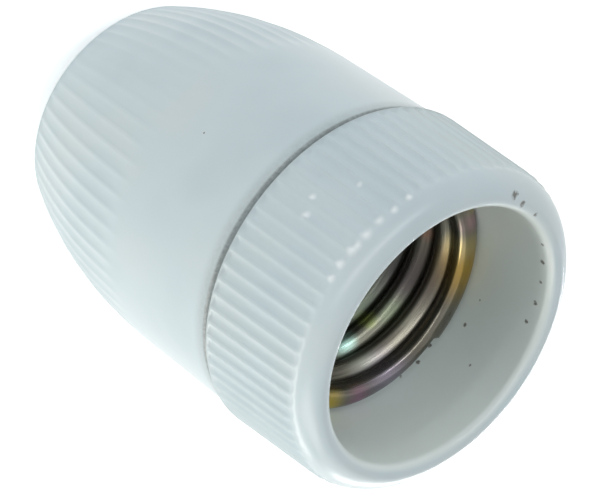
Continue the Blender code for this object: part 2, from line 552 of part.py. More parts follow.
def make_centre_contact(brass, steel):
    """Strip bent up from its pad to the lamp's foot contact, and the button riveted to its level end."""
    path = [(CENTRE_SCREW_X - STRIP_PAD / 2, PAD_Z)]
    steps = 6
    for k in range(steps + 1):
        share = k / steps
        path.append((PAD_END_X + STRIP_RAMP * share, PAD_Z + STRIP_RISE * (1 - cos(pi * share)) / 2))
    path.append((BUTTON_X + BUTTON_R + STRIP_MARGIN, PAD_Z + STRIP_RISE))
    bm = bmesh.new()
    rows = [[bm.verts.new((x, side * STRIP_W / 2, z)) for side in (-1, 1)] for x, z in path]
    for near, far in zip(rows, rows[1:]):
        bm.faces.new((near[0], near[1], far[1], far[0]))
    strip = add_object("centre_strip", bm, brass)
    sheet = strip.modifiers.new("sheet", "SOLIDIFY")
    sheet.thickness = STRIP_T
    sheet.offset = 0.0
    hole = rod(CENTRE_SCREW[2] + SCREW_GAP, 6 * STRIP_T, (CENTRE_SCREW_X, 0, PAD_Z), sides=12)
    combine(strip, add_cutter("strip_hole", hole), "DIFFERENCE")
    seat = PAD_Z + STRIP_RISE + STRIP_T / 2
    rivet_hole = rod(RIVET_R + SCREW_GAP, 6 * STRIP_T, (BUTTON_X, 0, seat), sides=10)
    combine(strip, add_cutter("rivet_hole", rivet_hole), "DIFFERENCE")
    dome = arc((0.0, BUTTON_H * 0.3), (BUTTON_R, BUTTON_H * 0.7), 0, 72, 3)
    tail = -STRIP_T - 3 * SCREW_GAP
    outline = [(RIVET_R, tail), (RIVET_R, 0.0), (BUTTON_R, 0.0)] + dome
    button = add_object("centre_button", revolve(outline, 14), brass)
    button.location = (BUTTON_X, 0, seat + SCREW_GAP)
    head_z = PAD_Z + STRIP_T / 2 + SCREW_GAP
    reach = head_z - (BLOCK_Z + WIRE_HOLE_Z + WIRE_HOLE_R + 0.6 * MM)
    make_screw("centre_screw", CENTRE_SCREW, reach, (CENTRE_SCREW_X, 0, head_z), steel)


def make_entry(steel, fibre):
    """Threaded bush through the cap's floor, with its washer, its nut in the flat end and a lock screw."""
    washer_z = CAP_FLOOR_T + SCREW_GAP
    boss_z = washer_z + ENTRY_WASHER_T + SCREW_GAP
    foot_z = ENTRY_RECESS_H - SCREW_GAP - ENTRY_NUT_H
    boss_top = boss_z + ENTRY_BOSS_H
    outline = [(ENTRY_BORE_R, foot_z), (ENTRY_SHANK_R, foot_z), (ENTRY_SHANK_R, boss_z), (ENTRY_BOSS_R, boss_z),
               (ENTRY_BOSS_R, boss_top - 0.5 * MM), (ENTRY_BOSS_R - 0.5 * MM, boss_top), (ENTRY_BORE_R, boss_top)]
    bush = add_object("entry_bush", revolve(outline, BORE_SIDES, True), steel)
    lock_z = boss_z + ENTRY_BOSS_H / 2
    lock_hole = rod(LOCK_SCREW_R + SCREW_GAP, 2 * ENTRY_BOSS_R - ENTRY_BORE_R, (ENTRY_BOSS_R, 0, lock_z), "X", 14)
    combine(bush, add_cutter("lock_hole", lock_hole), "DIFFERENCE")
    washer_in = ENTRY_SHANK_R + SCREW_GAP
    washer = revolve([(washer_in, washer_z), (ENTRY_WASHER_R, washer_z),
                      (ENTRY_WASHER_R, washer_z + ENTRY_WASHER_T), (washer_in, washer_z + ENTRY_WASHER_T)],
                     BORE_SIDES, True)
    add_object("entry_washer", washer, fibre)
    nut = add_object("entry_nut", rod(ENTRY_NUT_R, ENTRY_NUT_H, (0, 0, foot_z + ENTRY_NUT_H / 2), sides=6), steel)
    nut_bore = rod(ENTRY_SHANK_R + SCREW_GAP, 3 * ENTRY_NUT_H, (0, 0, foot_z), sides=BORE_SIDES)
    combine(nut, add_cutter("entry_nut_bore", nut_bore), "DIFFERENCE")
    tip_x = ENTRY_BORE_R + SCREW_GAP
    length = ENTRY_BOSS_R + LOCK_SCREW_OUT - tip_x
    grub = revolve([(LOCK_SCREW_R - LOCK_SCREW_TIP, 0.0), (LOCK_SCREW_R, LOCK_SCREW_TIP),
                    (LOCK_SCREW_R, length)], 14)
    lock = add_object("lock_screw", grub, steel)
    slot = add_cutter("lock_slot", block((3 * LOCK_SCREW_R, SLOT_W, 2 * LOCK_SLOT_DEPTH), (0, 0, length)))
    combine(lock, slot, "DIFFERENCE")
    for item in (lock, slot):
        item.rotation_euler = (0.0, pi / 2, 0.0)
        item.location = (tip_x, 0, lock_z)


def main():
    clear_scene()
    porcelain = finish_of("glazed_porcelain", (0.62, 0.69, 0.70), 0.12)
    steatite = finish_of("steatite", (0.78, 0.76, 0.70), 0.55)
    yellow_steel = finish_of("yellow_passivated_steel", (0.55, 0.47, 0.24), 0.3, 1.0)
    bright_steel = finish_of("zinc_plated_steel", (0.60, 0.61, 0.63), 0.35, 1.0)
    brass = finish_of("brass", (0.72, 0.52, 0.20), 0.3, 1.0)
    fibre = finish_of("vulcanised_fibre", (0.25, 0.10, 0.07), 0.7)
    make_cap(porcelain)
    make_skirt(porcelain)
    make_shell(yellow_steel)
    make_carrier(steatite)
    make_terminals(brass, bright_steel)
    make_shell_fasteners(bright_steel)
    make_centre_contact(brass, bright_steel)
    make_entry(bright_steel, fibre)


main()
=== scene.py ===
# Looks of the porcelain screw lamp holder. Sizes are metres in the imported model's frame: the holder
# stands on its flat cable end at z = 0 and its mouth faces up.
from math import atan2, ceil, copysign, cos, hypot, pi, radians, sin, sqrt, tan

import bmesh
import bpy
from mathutils import Matrix, Vector
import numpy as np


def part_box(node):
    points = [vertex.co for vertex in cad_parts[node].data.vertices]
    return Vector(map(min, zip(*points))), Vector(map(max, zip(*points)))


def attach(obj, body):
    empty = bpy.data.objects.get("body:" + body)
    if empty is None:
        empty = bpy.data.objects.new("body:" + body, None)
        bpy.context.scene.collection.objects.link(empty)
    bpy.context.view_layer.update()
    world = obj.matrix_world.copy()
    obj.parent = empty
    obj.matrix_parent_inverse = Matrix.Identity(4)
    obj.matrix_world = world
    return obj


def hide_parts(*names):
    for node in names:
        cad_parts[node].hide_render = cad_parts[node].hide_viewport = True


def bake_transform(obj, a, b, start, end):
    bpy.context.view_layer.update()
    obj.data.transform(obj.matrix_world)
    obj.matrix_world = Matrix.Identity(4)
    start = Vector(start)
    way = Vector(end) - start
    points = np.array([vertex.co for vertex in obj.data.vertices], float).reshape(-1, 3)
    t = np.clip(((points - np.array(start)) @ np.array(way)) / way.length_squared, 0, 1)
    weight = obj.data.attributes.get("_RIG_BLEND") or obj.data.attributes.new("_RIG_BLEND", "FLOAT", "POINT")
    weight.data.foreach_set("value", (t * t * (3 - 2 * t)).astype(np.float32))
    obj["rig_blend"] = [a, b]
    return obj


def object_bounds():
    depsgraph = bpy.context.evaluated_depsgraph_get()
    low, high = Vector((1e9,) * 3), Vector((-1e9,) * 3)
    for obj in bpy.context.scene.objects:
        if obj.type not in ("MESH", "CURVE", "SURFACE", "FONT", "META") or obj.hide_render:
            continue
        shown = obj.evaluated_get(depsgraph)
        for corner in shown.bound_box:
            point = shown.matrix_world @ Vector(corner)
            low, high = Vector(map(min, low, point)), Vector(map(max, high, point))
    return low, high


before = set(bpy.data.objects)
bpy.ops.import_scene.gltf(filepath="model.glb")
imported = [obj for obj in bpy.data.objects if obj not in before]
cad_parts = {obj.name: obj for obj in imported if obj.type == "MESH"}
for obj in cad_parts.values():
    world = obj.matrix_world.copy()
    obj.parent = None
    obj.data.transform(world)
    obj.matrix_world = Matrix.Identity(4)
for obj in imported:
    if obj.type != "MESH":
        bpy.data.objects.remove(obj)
cadBox = [list(corner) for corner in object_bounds()]
mm = 0.001
print("frame loaded")


# From an sRGB hex colour to the linear values that the shaders take.
def linear(hexText):
    channels = [int(hexText[i:i + 2], 16) / 255 for i in (1, 3, 5)]
    return (*[c / 12.92 if c <= 0.04045 else ((c + 0.055) / 1.055) ** 2.4 for c in channels], 1.0)


# An input is a plain value, a socket, or a node, which then gives its first output.
def addNode(tree, kind, inputs=None, stops=None, **settings):
    node = tree.nodes.new(kind)
    for name, value in settings.items():
        setattr(node, name, value)
    for key, value in (inputs or {}).items():
        if isinstance(value, bpy.types.Node):
            value = value.outputs[0]
        if isinstance(value, bpy.types.NodeSocket):
            tree.links.new(value, node.inputs[key])
        else:
            node.inputs[key].default_value = value
    if stops:  # colour ramp: (place, hex colour)
        ramp = node.color_ramp.elements
        while len(ramp) < len(stops):
            ramp.new(1.0)
        for element, (place, hexText) in zip(ramp, stops):
            element.position = place
            element.color = linear(hexText)
    return node


def newMaterial(name):
    material = bpy.data.materials.new(name)
    material.use_nodes = True
    tree = material.node_tree
    tree.nodes.clear()
    shader = addNode(tree, "ShaderNodeBsdfPrincipled")
    addNode(tree, "ShaderNodeOutputMaterial", {"Surface": shader})
    place = addNode(tree, "ShaderNodeTexCoord").outputs["Object"]
    return material, tree, shader, place


# Hard-paste porcelain under a clear glaze: a cool, faintly green-blue white. The glaze is glassy and a
# little wavy, thinner and warmer in the mouth, with small dark iron specks, drops and old dirt. The mouth
# is also painted much lighter against the shade in the bore, the seam carries painted shade with its
# grime, and the drops are painted near-white as highlights.
porcelainLook = {
    "tones": [(0.35, "#C7D8DE"), (0.5, "#CCDCE2"), (0.68, "#CFDDE0")], "toneSize": 14 * mm,
    "inside": "#E9F4F2", "insideFade": (0.8 * mm, 0.2 * mm), "glazeRoughness": 0.28, "glazeIor": 1.5,
    "waveSize": 5 * mm, "waveDepth": 0.4 * mm, "waveStrength": 0.12,
    "speck": "#868D8E", "speckCell": 3.1 * mm, "speckFrom": 0.93, "speckSize": 0.055,
    "grainSize": 0.5 * mm, "seamRadius": 20.6 * mm, "seamGrain": (0.3, 0.6), "seamUneven": 0.6,
    "dirt": "#5B564C", "dirtGrain": (0.76, 0.96), "dirtStrength": 0.85, "dirtEdge": -0.1,
    "drop": "#F2FBFF", "dropHeight": 0.15,
}


def makePorcelain(name, seamShadeAndGrime, boreRadius=0.0, marks=(), glazeDropsAndHighlights=()):
    look = porcelainLook
    material, tree, shader, place = newMaterial(name)
    cloud = addNode(tree, "ShaderNodeTexNoise",
                    {"Vector": place, "Scale": 1 / look["toneSize"], "Detail": 2.0})
    tone = addNode(tree, "ShaderNodeValToRGB", {"Fac": cloud}, look["tones"])
    # the mouth has a thinner glaze, so its tone is warmer; the same tone is painted much lighter, a painted
    # lightening of the shaded bore
    flat = addNode(tree, "ShaderNodeVectorMath", {0: place, 1: (1.0, 1.0, 0.0)}, operation="MULTIPLY")
    radius = addNode(tree, "ShaderNodeVectorMath", {0: flat}, operation="LENGTH").outputs["Value"]
    fadeStart, fadeEnd = (boreRadius + depth for depth in look["insideFade"])
    inner = addNode(tree, "ShaderNodeMapRange", {"Value": radius, 1: fadeStart, 2: fadeEnd})
    tone = addNode(tree, "ShaderNodeMix", {0: inner, 6: tone, 7: linear(look["inside"])}, data_type="RGBA")
    # iron specks: only the few cells whose random value is high carry one
    cells = addNode(tree, "ShaderNodeTexVoronoi", {"Vector": place, "Scale": 1 / look["speckCell"]})
    chosen = addNode(tree, "ShaderNodeSeparateColor", {"Color": cells.outputs["Color"]})
    size = addNode(tree, "ShaderNodeMapRange",
                   {"Value": chosen, 1: look["speckFrom"], 2: 1.0, 3: 0.0, 4: look["speckSize"]})
    near = addNode(tree, "ShaderNodeMath", {0: cells.outputs["Distance"], 1: size}, operation="LESS_THAN")
    colour = addNode(tree, "ShaderNodeMix", {0: near, 6: tone.outputs[2], 7: linear(look["speck"])},
                     data_type="RGBA")
    grain = addNode(tree, "ShaderNodeTexNoise",
                    {"Vector": place, "Scale": 1 / look["grainSize"], "Detail": 4.0, "Roughness": 0.7})
    # painted shade along the seam, soft at first, and grime with painted shade nearly black in the joint
    height = addNode(tree, "ShaderNodeSeparateXYZ", {0: place}).outputs[2]
    outer = addNode(tree, "ShaderNodeMapRange",
                    {"Value": radius, 1: look["seamRadius"] - mm, 2: look["seamRadius"]})
    for start, end, strength, hexText in seamShadeAndGrime:
        rise = addNode(tree, "ShaderNodeMapRange", {"Value": height, 1: start, 2: end},
                       interpolation_type="SMOOTHERSTEP")
        uneven = addNode(tree, "ShaderNodeMapRange",
                         {"Value": grain, 1: look["seamGrain"][0], 2: look["seamGrain"][1],
                          3: strength * look["seamUneven"], 4: strength})
        amount = addNode(tree, "ShaderNodeMath", {0: rise, 1: uneven}, operation="MULTIPLY")
        amount = addNode(tree, "ShaderNodeMath", {0: amount, 1: outer}, operation="MULTIPLY")
        colour = addNode(tree, "ShaderNodeMix", {0: amount, 6: colour.outputs[2], 7: linear(hexText)},
                         data_type="RGBA")
    # old dirt and chips: grainy smudges round chosen places
    for centre, reach, strength in marks:
        away = addNode(tree, "ShaderNodeVectorMath", {0: place, 1: centre}, operation="DISTANCE")
        fade = addNode(tree, "ShaderNodeMapRange",
                       {"Value": away.outputs["Value"], 1: 0.0, 2: reach, 3: strength, 4: look["dirtEdge"]},
                       interpolation_type="SMOOTHSTEP")
        level = addNode(tree, "ShaderNodeMath", {0: grain, 1: fade}, operation="ADD")
        patch = addNode(tree, "ShaderNodeMapRange",
                        {"Value": level, 1: look["dirtGrain"][0], 2: look["dirtGrain"][1], 3: 0.0,
                         4: look["dirtStrength"]})
        colour = addNode(tree, "ShaderNodeMix", {0: patch, 6: colour.outputs[2], 7: linear(look["dirt"])},
                         data_type="RGBA")
    wave = addNode(tree, "ShaderNodeTexNoise",
                   {"Vector": place, "Scale": 1 / look["waveSize"], "Detail": 1.0})
    bump = addNode(tree, "ShaderNodeBump",
                   {"Height": wave, "Strength": look["waveStrength"], "Distance": look["waveDepth"]})
    # drops of glaze: small domes in the bump, their near-white colour a painted highlight
    for centre, reach in glazeDropsAndHighlights:
        away = addNode(tree, "ShaderNodeVectorMath", {0: place, 1: centre}, operation="DISTANCE")
        dome = addNode(tree, "ShaderNodeMapRange",
                       {"Value": away.outputs["Value"], 1: 0.0, 2: reach, 3: 1.0, 4: 0.0},
                       interpolation_type="SMOOTHSTEP")
        bump = addNode(tree, "ShaderNodeBump",
                       {"Height": dome, "Distance": look["dropHeight"] * reach, "Normal": bump})
        colour = addNode(tree, "ShaderNodeMix", {0: dome, 6: colour.outputs[2], 7: linear(look["drop"])},
                         data_type="RGBA")
    tree.links.new(colour.outputs[2], shader.inputs["Base Color"])
    tree.links.new(bump.outputs[0], shader.inputs["Normal"])
    shader.inputs["Roughness"].default_value = look["glazeRoughness"]
    shader.inputs["IOR"].default_value = look["glazeIor"]
    return material


# Sheet steel, zinc plated and yellow passivated, now dull: a grey-brown metal with streaks along the
# rolled thread, and a film that still shows straw, pink, green and blue where it is thicker. Some
# patches are painted highlights and painted shade on the thread's ridges, and the colour is painted
# darker towards the deep, shaded end.
shellLook = {
    "base": "#7A776C", "streak": "#514E45", "streakSpread": (0.32, 0.62), "streakHeight": 0.3 * mm,
    "streakTurn": 0.06, "streakDepth": 0.08 * mm, "streakBump": 0.2, "pitch": 3.62 * mm,
    # the deep colour and its heights are painted shade: darker towards the shell's deep, shaded end
    "deep": "#4C5449", "deepShadeHeight": (40.0 * mm, 46.0 * mm), "metallic": 0.75,
    "roughness": (0.24, 0.4), "roughSpread": (0.3, 0.7), "lipHeight": 49.4 * mm, "lipShine": 0.55,
    "filmsAndPaintedLight": [((x * mm, y * mm, z * mm), reach * mm, hexText, strength)
              for x, y, z, reach, hexText, strength in (
        (-8.6, 12.3, 49.8, 5.8, "#B8963C", 0.95), (-13.4, 7.0, 49.8, 2.6, "#B58F96", 0.7),
        (-14.3, 5.6, 49.6, 1.4, "#B9B552", 0.7), (8.0, 12.4, 49.8, 5.5, "#8F8898", 0.8),
        (11.6, 9.2, 49.8, 2.6, "#9A6C8A", 0.8), (14.3, 5.2, 49.8, 3.3, "#CDB23C", 0.95),
        # cyan and green: film tints painted bright as glints, a painted highlight
        (7.5, 10.5, 42.4, 2.6, "#BCEBE1", 0.95), (3.4, 12.4, 42.0, 2.0, "#A9BE4E", 0.9),
        (-9.0, 9.2, 44.6, 1.6, "#94604A", 0.5), (0.5, 12.9, 44.4, 3.5, "#6F8263", 0.5),
        # dark patches on the second and third ridges: painted shade
        (-5.5, 11.2, 46.0, 6.5, "#5A5048", 0.75), (-3.5, 12.0, 42.3, 6.5, "#4A4447", 0.8),
        # pale patch on the second ridge and cream on the lip's bend: painted highlights
        (7.8, 9.9, 45.9, 3.5, "#8C9386", 0.7), (-10.6, 9.4, 49.2, 3.0, "#D8C88E", 0.6))],
}


def makePassivatedSteel(name):
    look = shellLook
    material, tree, shader, place = newMaterial(name)
    parts = addNode(tree, "ShaderNodeSeparateXYZ", {0: place}).outputs
    # streaks along the thread: noise that is long on its turns and short across them
    angle = addNode(tree, "ShaderNodeMath", {0: parts[1], 1: parts[0]}, operation="ARCTAN2")
    rise = addNode(tree, "ShaderNodeMath", {0: angle, 1: -look["pitch"] / (2 * pi), 2: parts[2]},
                   operation="MULTIPLY_ADD")
    across = addNode(tree, "ShaderNodeMath", {0: rise, 1: look["streakHeight"]}, operation="DIVIDE")
    along = addNode(tree, "ShaderNodeVectorMath", {0: place, "Scale": look["streakTurn"] / mm},
                    operation="SCALE")
    alongParts = addNode(tree, "ShaderNodeSeparateXYZ", {0: along}).outputs
    course = addNode(tree, "ShaderNodeCombineXYZ", {0: alongParts[0], 1: alongParts[1], 2: across})
    streak = addNode(tree, "ShaderNodeTexNoise", {"Vector": course, "Scale": 1.0, "Detail": 3.0})
    spread = addNode(tree, "ShaderNodeMapRange",
                     {"Value": streak, 1: look["streakSpread"][0], 2: look["streakSpread"][1]})
    colour = addNode(tree, "ShaderNodeMix", {0: spread, 6: linear(look["streak"]), 7: linear(look["base"])},
                     data_type="RGBA")
    # painted shade: darker towards the deep end of the shell
    low = addNode(tree, "ShaderNodeMapRange",
                  {"Value": parts[2], 1: look["deepShadeHeight"][1], 2: look["deepShadeHeight"][0]})
    colour = addNode(tree, "ShaderNodeMix", {0: low, 6: colour.outputs[2], 7: linear(look["deep"])},
                     data_type="RGBA")
    # film tints, among them painted highlights and painted shade
    for centre, reach, hexText, strength in look["filmsAndPaintedLight"]:
        away = addNode(tree, "ShaderNodeVectorMath", {0: place, 1: centre}, operation="DISTANCE")
        fade = addNode(tree, "ShaderNodeMapRange",
                       {"Value": away.outputs["Value"], 1: 0.0, 2: reach, 3: strength, 4: 0.0},
                       interpolation_type="SMOOTHSTEP")
        colour = addNode(tree, "ShaderNodeMix", {0: fade, 6: colour.outputs[2], 7: linear(hexText)},
                         data_type="RGBA")
    dull = addNode(tree, "ShaderNodeMapRange",
                   {"Value": streak, 1: look["roughSpread"][0], 2: look["roughSpread"][1],
                    3: look["roughness"][1], 4: look["roughness"][0]})
    shine = addNode(tree, "ShaderNodeMapRange",
                    {"Value": parts[2], 1: look["lipHeight"] - mm, 2: look["lipHeight"], 3: 1.0,
                     4: look["lipShine"]})
    rough = addNode(tree, "ShaderNodeMath", {0: dull, 1: shine}, operation="MULTIPLY")
    bump = addNode(tree, "ShaderNodeBump",
                   {"Height": streak, "Strength": look["streakBump"], "Distance": look["streakDepth"]})
    tree.links.new(colour.outputs[2], shader.inputs["Base Color"])
    tree.links.new(rough.outputs[0], shader.inputs["Roughness"])
    tree.links.new(bump.outputs[0], shader.inputs["Normal"])
    shader.inputs["Metallic"].default_value = look["metallic"]
    return material


# The other fittings: base, second tone, metallic, roughness and grain size.
fittingLooks = {
    # pressed and fired steatite: a dry, cream-white stone with fine mottling
    "steatite": ("#DAD6CB", "#CDC8BB", 0.0, 0.55, 1.2 * mm),
    # stamped brass, left bare: warm yellow metal, browner where it has tarnished
    "brass": ("#C9A765", "#A88447", 1.0, 0.28, 3.0 * mm),
    # turned steel, barrel zinc plated: an even, cool grey sheen
    "zincPlatedSteel": ("#B9BCBE", "#A3A6A9", 1.0, 0.32, 2.0 * mm),
    # punched vulcanised fibre: a dull red-brown board
    "vulcanisedFibre": ("#7A3B2E", "#6A3026", 0.0, 0.7, 0.9 * mm),
}
fittingGrain = {"secondTone": 0.35, "baseTone": 0.6, "strength": 0.15, "depth": 0.1 * mm}


def makeFitting(name):
    base, second, metallic, roughness, grainSize = fittingLooks[name]
    material, tree, shader, place = newMaterial(name)
    grain = addNode(tree, "ShaderNodeTexNoise", {"Vector": place, "Scale": 1 / grainSize, "Detail": 5.0})
    colour = addNode(tree, "ShaderNodeValToRGB", {"Fac": grain},
                     [(fittingGrain["secondTone"], second), (fittingGrain["baseTone"], base)])
    bump = addNode(tree, "ShaderNodeBump",
                   {"Height": grain, "Strength": fittingGrain["strength"], "Distance": fittingGrain["depth"]})
    tree.links.new(colour.outputs[0], shader.inputs["Base Color"])
    tree.links.new(bump.outputs[0], shader.inputs["Normal"])
    shader.inputs["Metallic"].default_value = metallic
    shader.inputs["Roughness"].default_value = roughness
    return material


# How finely turned pieces are meshed, by kind of surface, and how their corners are rounded.
spacing = {"plain": 1.2 * mm, "fluted": 0.8 * mm, "threaded": 0.28 * mm}
fineSpacing = {"plain": 0.5 * mm, "threaded": 0.1 * mm}
meshPerRib = 8  # columns of faces to each rib or flute
fillets = {"chord": 0.16 * mm, "leastSteps": 3, "largestShare": 0.48}
weldDistance = 0.0001 * mm  # points nearer than this become one


# A profile is a list of (radius, height, fillet, kind of surface from here on). A sharp corner leaves
# the last two out, and a plain surface its kind.
def roundCorners(corners, step, closed=True):
    corners = [(*corner, *(0.0, "plain")[len(corner) - 2:]) for corner in corners]
    count = len(corners)
    points = []
    for i, (r, z, fillet, kind) in enumerate(corners):
        here = Vector((r, z))
        before = Vector(corners[i - 1][:2])
        after = Vector(corners[(i + 1) % count][:2])
        if fillet <= 0.0 or (not closed and i in (0, count - 1)):
            points.append((r, z, kind))
            continue
        toBefore = (before - here).normalized()
        toAfter = (after - here).normalized()
        half = toBefore.angle(toAfter) / 2
        longest = fillets["largestShare"] * min((before - here).length, (after - here).length)
        reach = min(fillet / tan(half), longest)
        radius = reach * tan(half)
        centre = here + (toBefore + toAfter).normalized() * (radius / sin(half))
        start, end = here + toBefore * reach - centre, here + toAfter * reach - centre
        sweep = pi - 2 * half
        steps = max(fillets["leastSteps"], ceil(radius * sweep / fillets["chord"]))
        turn = sweep if start.x * end.y - start.y * end.x > 0 else -sweep
        for k in range(steps + 1):
            c, s = cos(turn * k / steps), sin(turn * k / steps)
            offset = Vector((start.x * c - start.y * s, start.x * s + start.y * c))
            surface = kind if k == steps else corners[i - 1][3]
            points.append((centre.x + offset.x, centre.y + offset.y, surface))
    fine = []
    for i, (r, z, kind) in enumerate(points):
        fine.append((r, z, kind))
        nr, nz, _ = points[(i + 1) % len(points)]
        if not closed and i == len(points) - 1:
            break
        pieces = ceil(hypot(nr - r, nz - z) / step[kind])
        for k in range(1, pieces):
            fine.append((r + (nr - r) * k / pieces, z + (nz - z) * k / pieces, kind))
    return fine


# Below 2, power makes the arc flatter than an ellipse between its two ends.
def ellipseArc(centre, radii, start, end, steps, kind="plain", power=2.0):
    points = []
    for k in range(steps + 1):
        angle = radians(start + (end - start) * k / steps)
        across, along = (copysign(abs(c) ** (2 / power), c) for c in (cos(angle), sin(angle)))
        points.append((centre[0] + radii[0] * across, centre[1] + radii[1] * along, 0.0, kind))
    return points


# Turns a profile into a mesh and marks the points of each kind of surface for the geometry nodes.
def turnProfile(name, points, segments, closed=True):
    count = len(points)
    mesh = bpy.data.meshes.new(name)
    verts = [(r * cos(2 * pi * s / segments), r * sin(2 * pi * s / segments), z)
             for s in range(segments) for r, z, _ in points]
    faces = []
    for s in range(segments):
        low, high = s * count, (s + 1) % segments * count
        for i in range(count if closed else count - 1):
            j = (i + 1) % count
            faces.append((low + i, high + i, high + j, low + j))
    mesh.from_pydata(verts, [], faces)
    for kind in ("fluted", "threaded"):
        mark = mesh.attributes.new(kind, "FLOAT", "POINT")
        mark.data.foreach_set("value", [float(point[2] == kind) for point in points] * segments)
    work = bmesh.new()
    work.from_mesh(mesh)
    bmesh.ops.remove_doubles(work, verts=work.verts, dist=weldDistance)  # closes the poles
    bmesh.ops.recalc_face_normals(work, faces=work.faces)
    work.to_mesh(mesh)
    work.free()
    mesh.shade_smooth()
    item = bpy.data.objects.new(name, mesh)
    bpy.context.scene.collection.objects.link(item)
    return item


def newTree(name, sockets):
    tree = bpy.data.node_groups.new(name, "GeometryNodeTree")
    tree.interface.new_socket("Geometry", in_out="INPUT", socket_type="NodeSocketGeometry")
    for label, kind in sockets:
        tree.interface.new_socket(label, in_out="INPUT", socket_type="NodeSocket" + kind)
    tree.interface.new_socket("Geometry", in_out="OUTPUT", socket_type="NodeSocketGeometry")
    return tree, addNode(tree, "NodeGroupInput").outputs


# Moves the marked points in or out by a height, then gives the result its material.
def pushRadially(tree, given, mark, height):
    place = addNode(tree, "GeometryNodeInputPosition")
    flat = addNode(tree, "ShaderNodeVectorMath", {0: place, 1: (1.0, 1.0, 0.0)}, operation="MULTIPLY")
    outwards = addNode(tree, "ShaderNodeVectorMath", {0: flat}, operation="NORMALIZE")
    shift = addNode(tree, "ShaderNodeVectorMath", {0: outwards, "Scale": height}, operation="SCALE")
    marked = addNode(tree, "GeometryNodeInputNamedAttribute", {"Name": mark}, data_type="FLOAT")
    moved = addNode(tree, "GeometryNodeSetPosition", {"Geometry": given["Geometry"], "Offset": shift,
                                                      "Selection": marked})
    solid = addNode(tree, "GeometryNodeRealizeInstances", {"Geometry": moved})
    dressed = addNode(tree, "GeometryNodeSetMaterial", {"Geometry": solid, "Material": given["Material"]})
    addNode(tree, "NodeGroupOutput", {"Geometry": dressed})


# The angle round the axis in turns, and the height, of each point.
def turnsAndHeight(tree):
    place = addNode(tree, "GeometryNodeInputPosition")
    parts = addNode(tree, "ShaderNodeSeparateXYZ", {0: place}).outputs
    angle = addNode(tree, "ShaderNodeMath", {0: parts[1], 1: parts[0]}, operation="ARCTAN2")
    turns = addNode(tree, "ShaderNodeMath", {0: angle, 1: 2 * pi}, operation="DIVIDE")
    return turns, parts[2]


fadeNames = ("Foot Start", "Foot End", "Head Start", "Head End")
fadeSockets = [(name, "Float") for name in fadeNames]


# Rises from 0 to 1 over the foot of a pattern and falls again over its head.
def fadeAtEnds(tree, height, given):
    footStart, footEnd, headStart, headEnd = (given[name] for name in fadeNames)
    rise = addNode(tree, "ShaderNodeMapRange", {"Value": height, 1: footStart, 2: footEnd},
                   interpolation_type="SMOOTHSTEP")
    fall = addNode(tree, "ShaderNodeMapRange", {"Value": height, 1: headStart, 2: headEnd, 3: 1.0, 4: 0.0},
                   interpolation_type="SMOOTHSTEP")
    return addNode(tree, "ShaderNodeMath", {0: rise, 1: fall}, operation="MULTIPLY")


# Concave flutes with a crisp ridge between two of them.
def makeFluteTree():
    tree, given = newTree("concaveFlutes", [("Count", "Float"), ("Depth", "Float"), *fadeSockets,
                                            ("Material", "Material")])
    turns, height = turnsAndHeight(tree)
    flutes = addNode(tree, "ShaderNodeMath", {0: turns, 1: given["Count"]}, operation="MULTIPLY")
    part = addNode(tree, "ShaderNodeMath", {0: flutes}, operation="FRACT")
    across = addNode(tree, "ShaderNodeMath", {0: part, 1: 2.0, 2: -1.0}, operation="MULTIPLY_ADD")
    square = addNode(tree, "ShaderNodeMath", {0: across, 1: across}, operation="MULTIPLY")
    hollow = addNode(tree, "ShaderNodeMath", {0: 1.0, 1: square}, operation="SUBTRACT")
    deep = addNode(tree, "ShaderNodeMath", {0: hollow, 1: given["Depth"]}, operation="MULTIPLY")
    fade = fadeAtEnds(tree, height, given)
    inwards = addNode(tree, "ShaderNodeMath", {0: deep, 1: fade}, operation="MULTIPLY")
    push = addNode(tree, "ShaderNodeMath", {0: inwards, 1: -1.0}, operation="MULTIPLY")
    pushRadially(tree, given, "fluted", push)
    return tree


# A helix: a flat-topped ridge between its crest and root widths, or a round wave, which needs neither.
def makeThreadTree(name, roundWave):
    sizes = [(label, "Float") for label in ("Pitch", "Depth", "Start", "Crest Width", "Root Width")]
    tree, given = newTree(name, [*sizes, *fadeSockets, ("Material", "Material")])
    turns, height = turnsAndHeight(tree)
    raised = addNode(tree, "ShaderNodeMath", {0: height, 1: given["Start"]}, operation="SUBTRACT")
    pitches = addNode(tree, "ShaderNodeMath", {0: raised, 1: given["Pitch"]}, operation="DIVIDE")
    phase = addNode(tree, "ShaderNodeMath", {0: pitches, 1: turns}, operation="SUBTRACT")
    if roundWave:
        angle = addNode(tree, "ShaderNodeMath", {0: phase, 1: 2 * pi}, operation="MULTIPLY")
        shape = addNode(tree, "ShaderNodeMath", {0: angle}, operation="COSINE")
    else:
        part = addNode(tree, "ShaderNodeMath", {0: phase, 1: 0.5}, operation="ADD")
        part = addNode(tree, "ShaderNodeMath", {0: part}, operation="FRACT")
        offset = addNode(tree, "ShaderNodeMath", {0: part, 1: 0.5}, operation="SUBTRACT")
        away = addNode(tree, "ShaderNodeMath", {0: offset}, operation="ABSOLUTE")
        reach = addNode(tree, "ShaderNodeMath", {0: away, 1: given["Pitch"]}, operation="MULTIPLY")
        crest, root = [addNode(tree, "ShaderNodeMath", {0: given[width], 1: 2.0}, operation="DIVIDE")
                       for width in ("Crest Width", "Root Width")]
        shape = addNode(tree, "ShaderNodeMapRange", {"Value": reach, 1: crest, 2: root, 3: 1.0, 4: 0.0},
                        interpolation_type="SMOOTHSTEP")
    deep = addNode(tree, "ShaderNodeMath", {0: shape, 1: given["Depth"]}, operation="MULTIPLY")
    fade = fadeAtEnds(tree, height, given)
    push = addNode(tree, "ShaderNodeMath", {0: deep, 1: fade}, operation="MULTIPLY")
    pushRadially(tree, given, "threaded", push)
    return tree


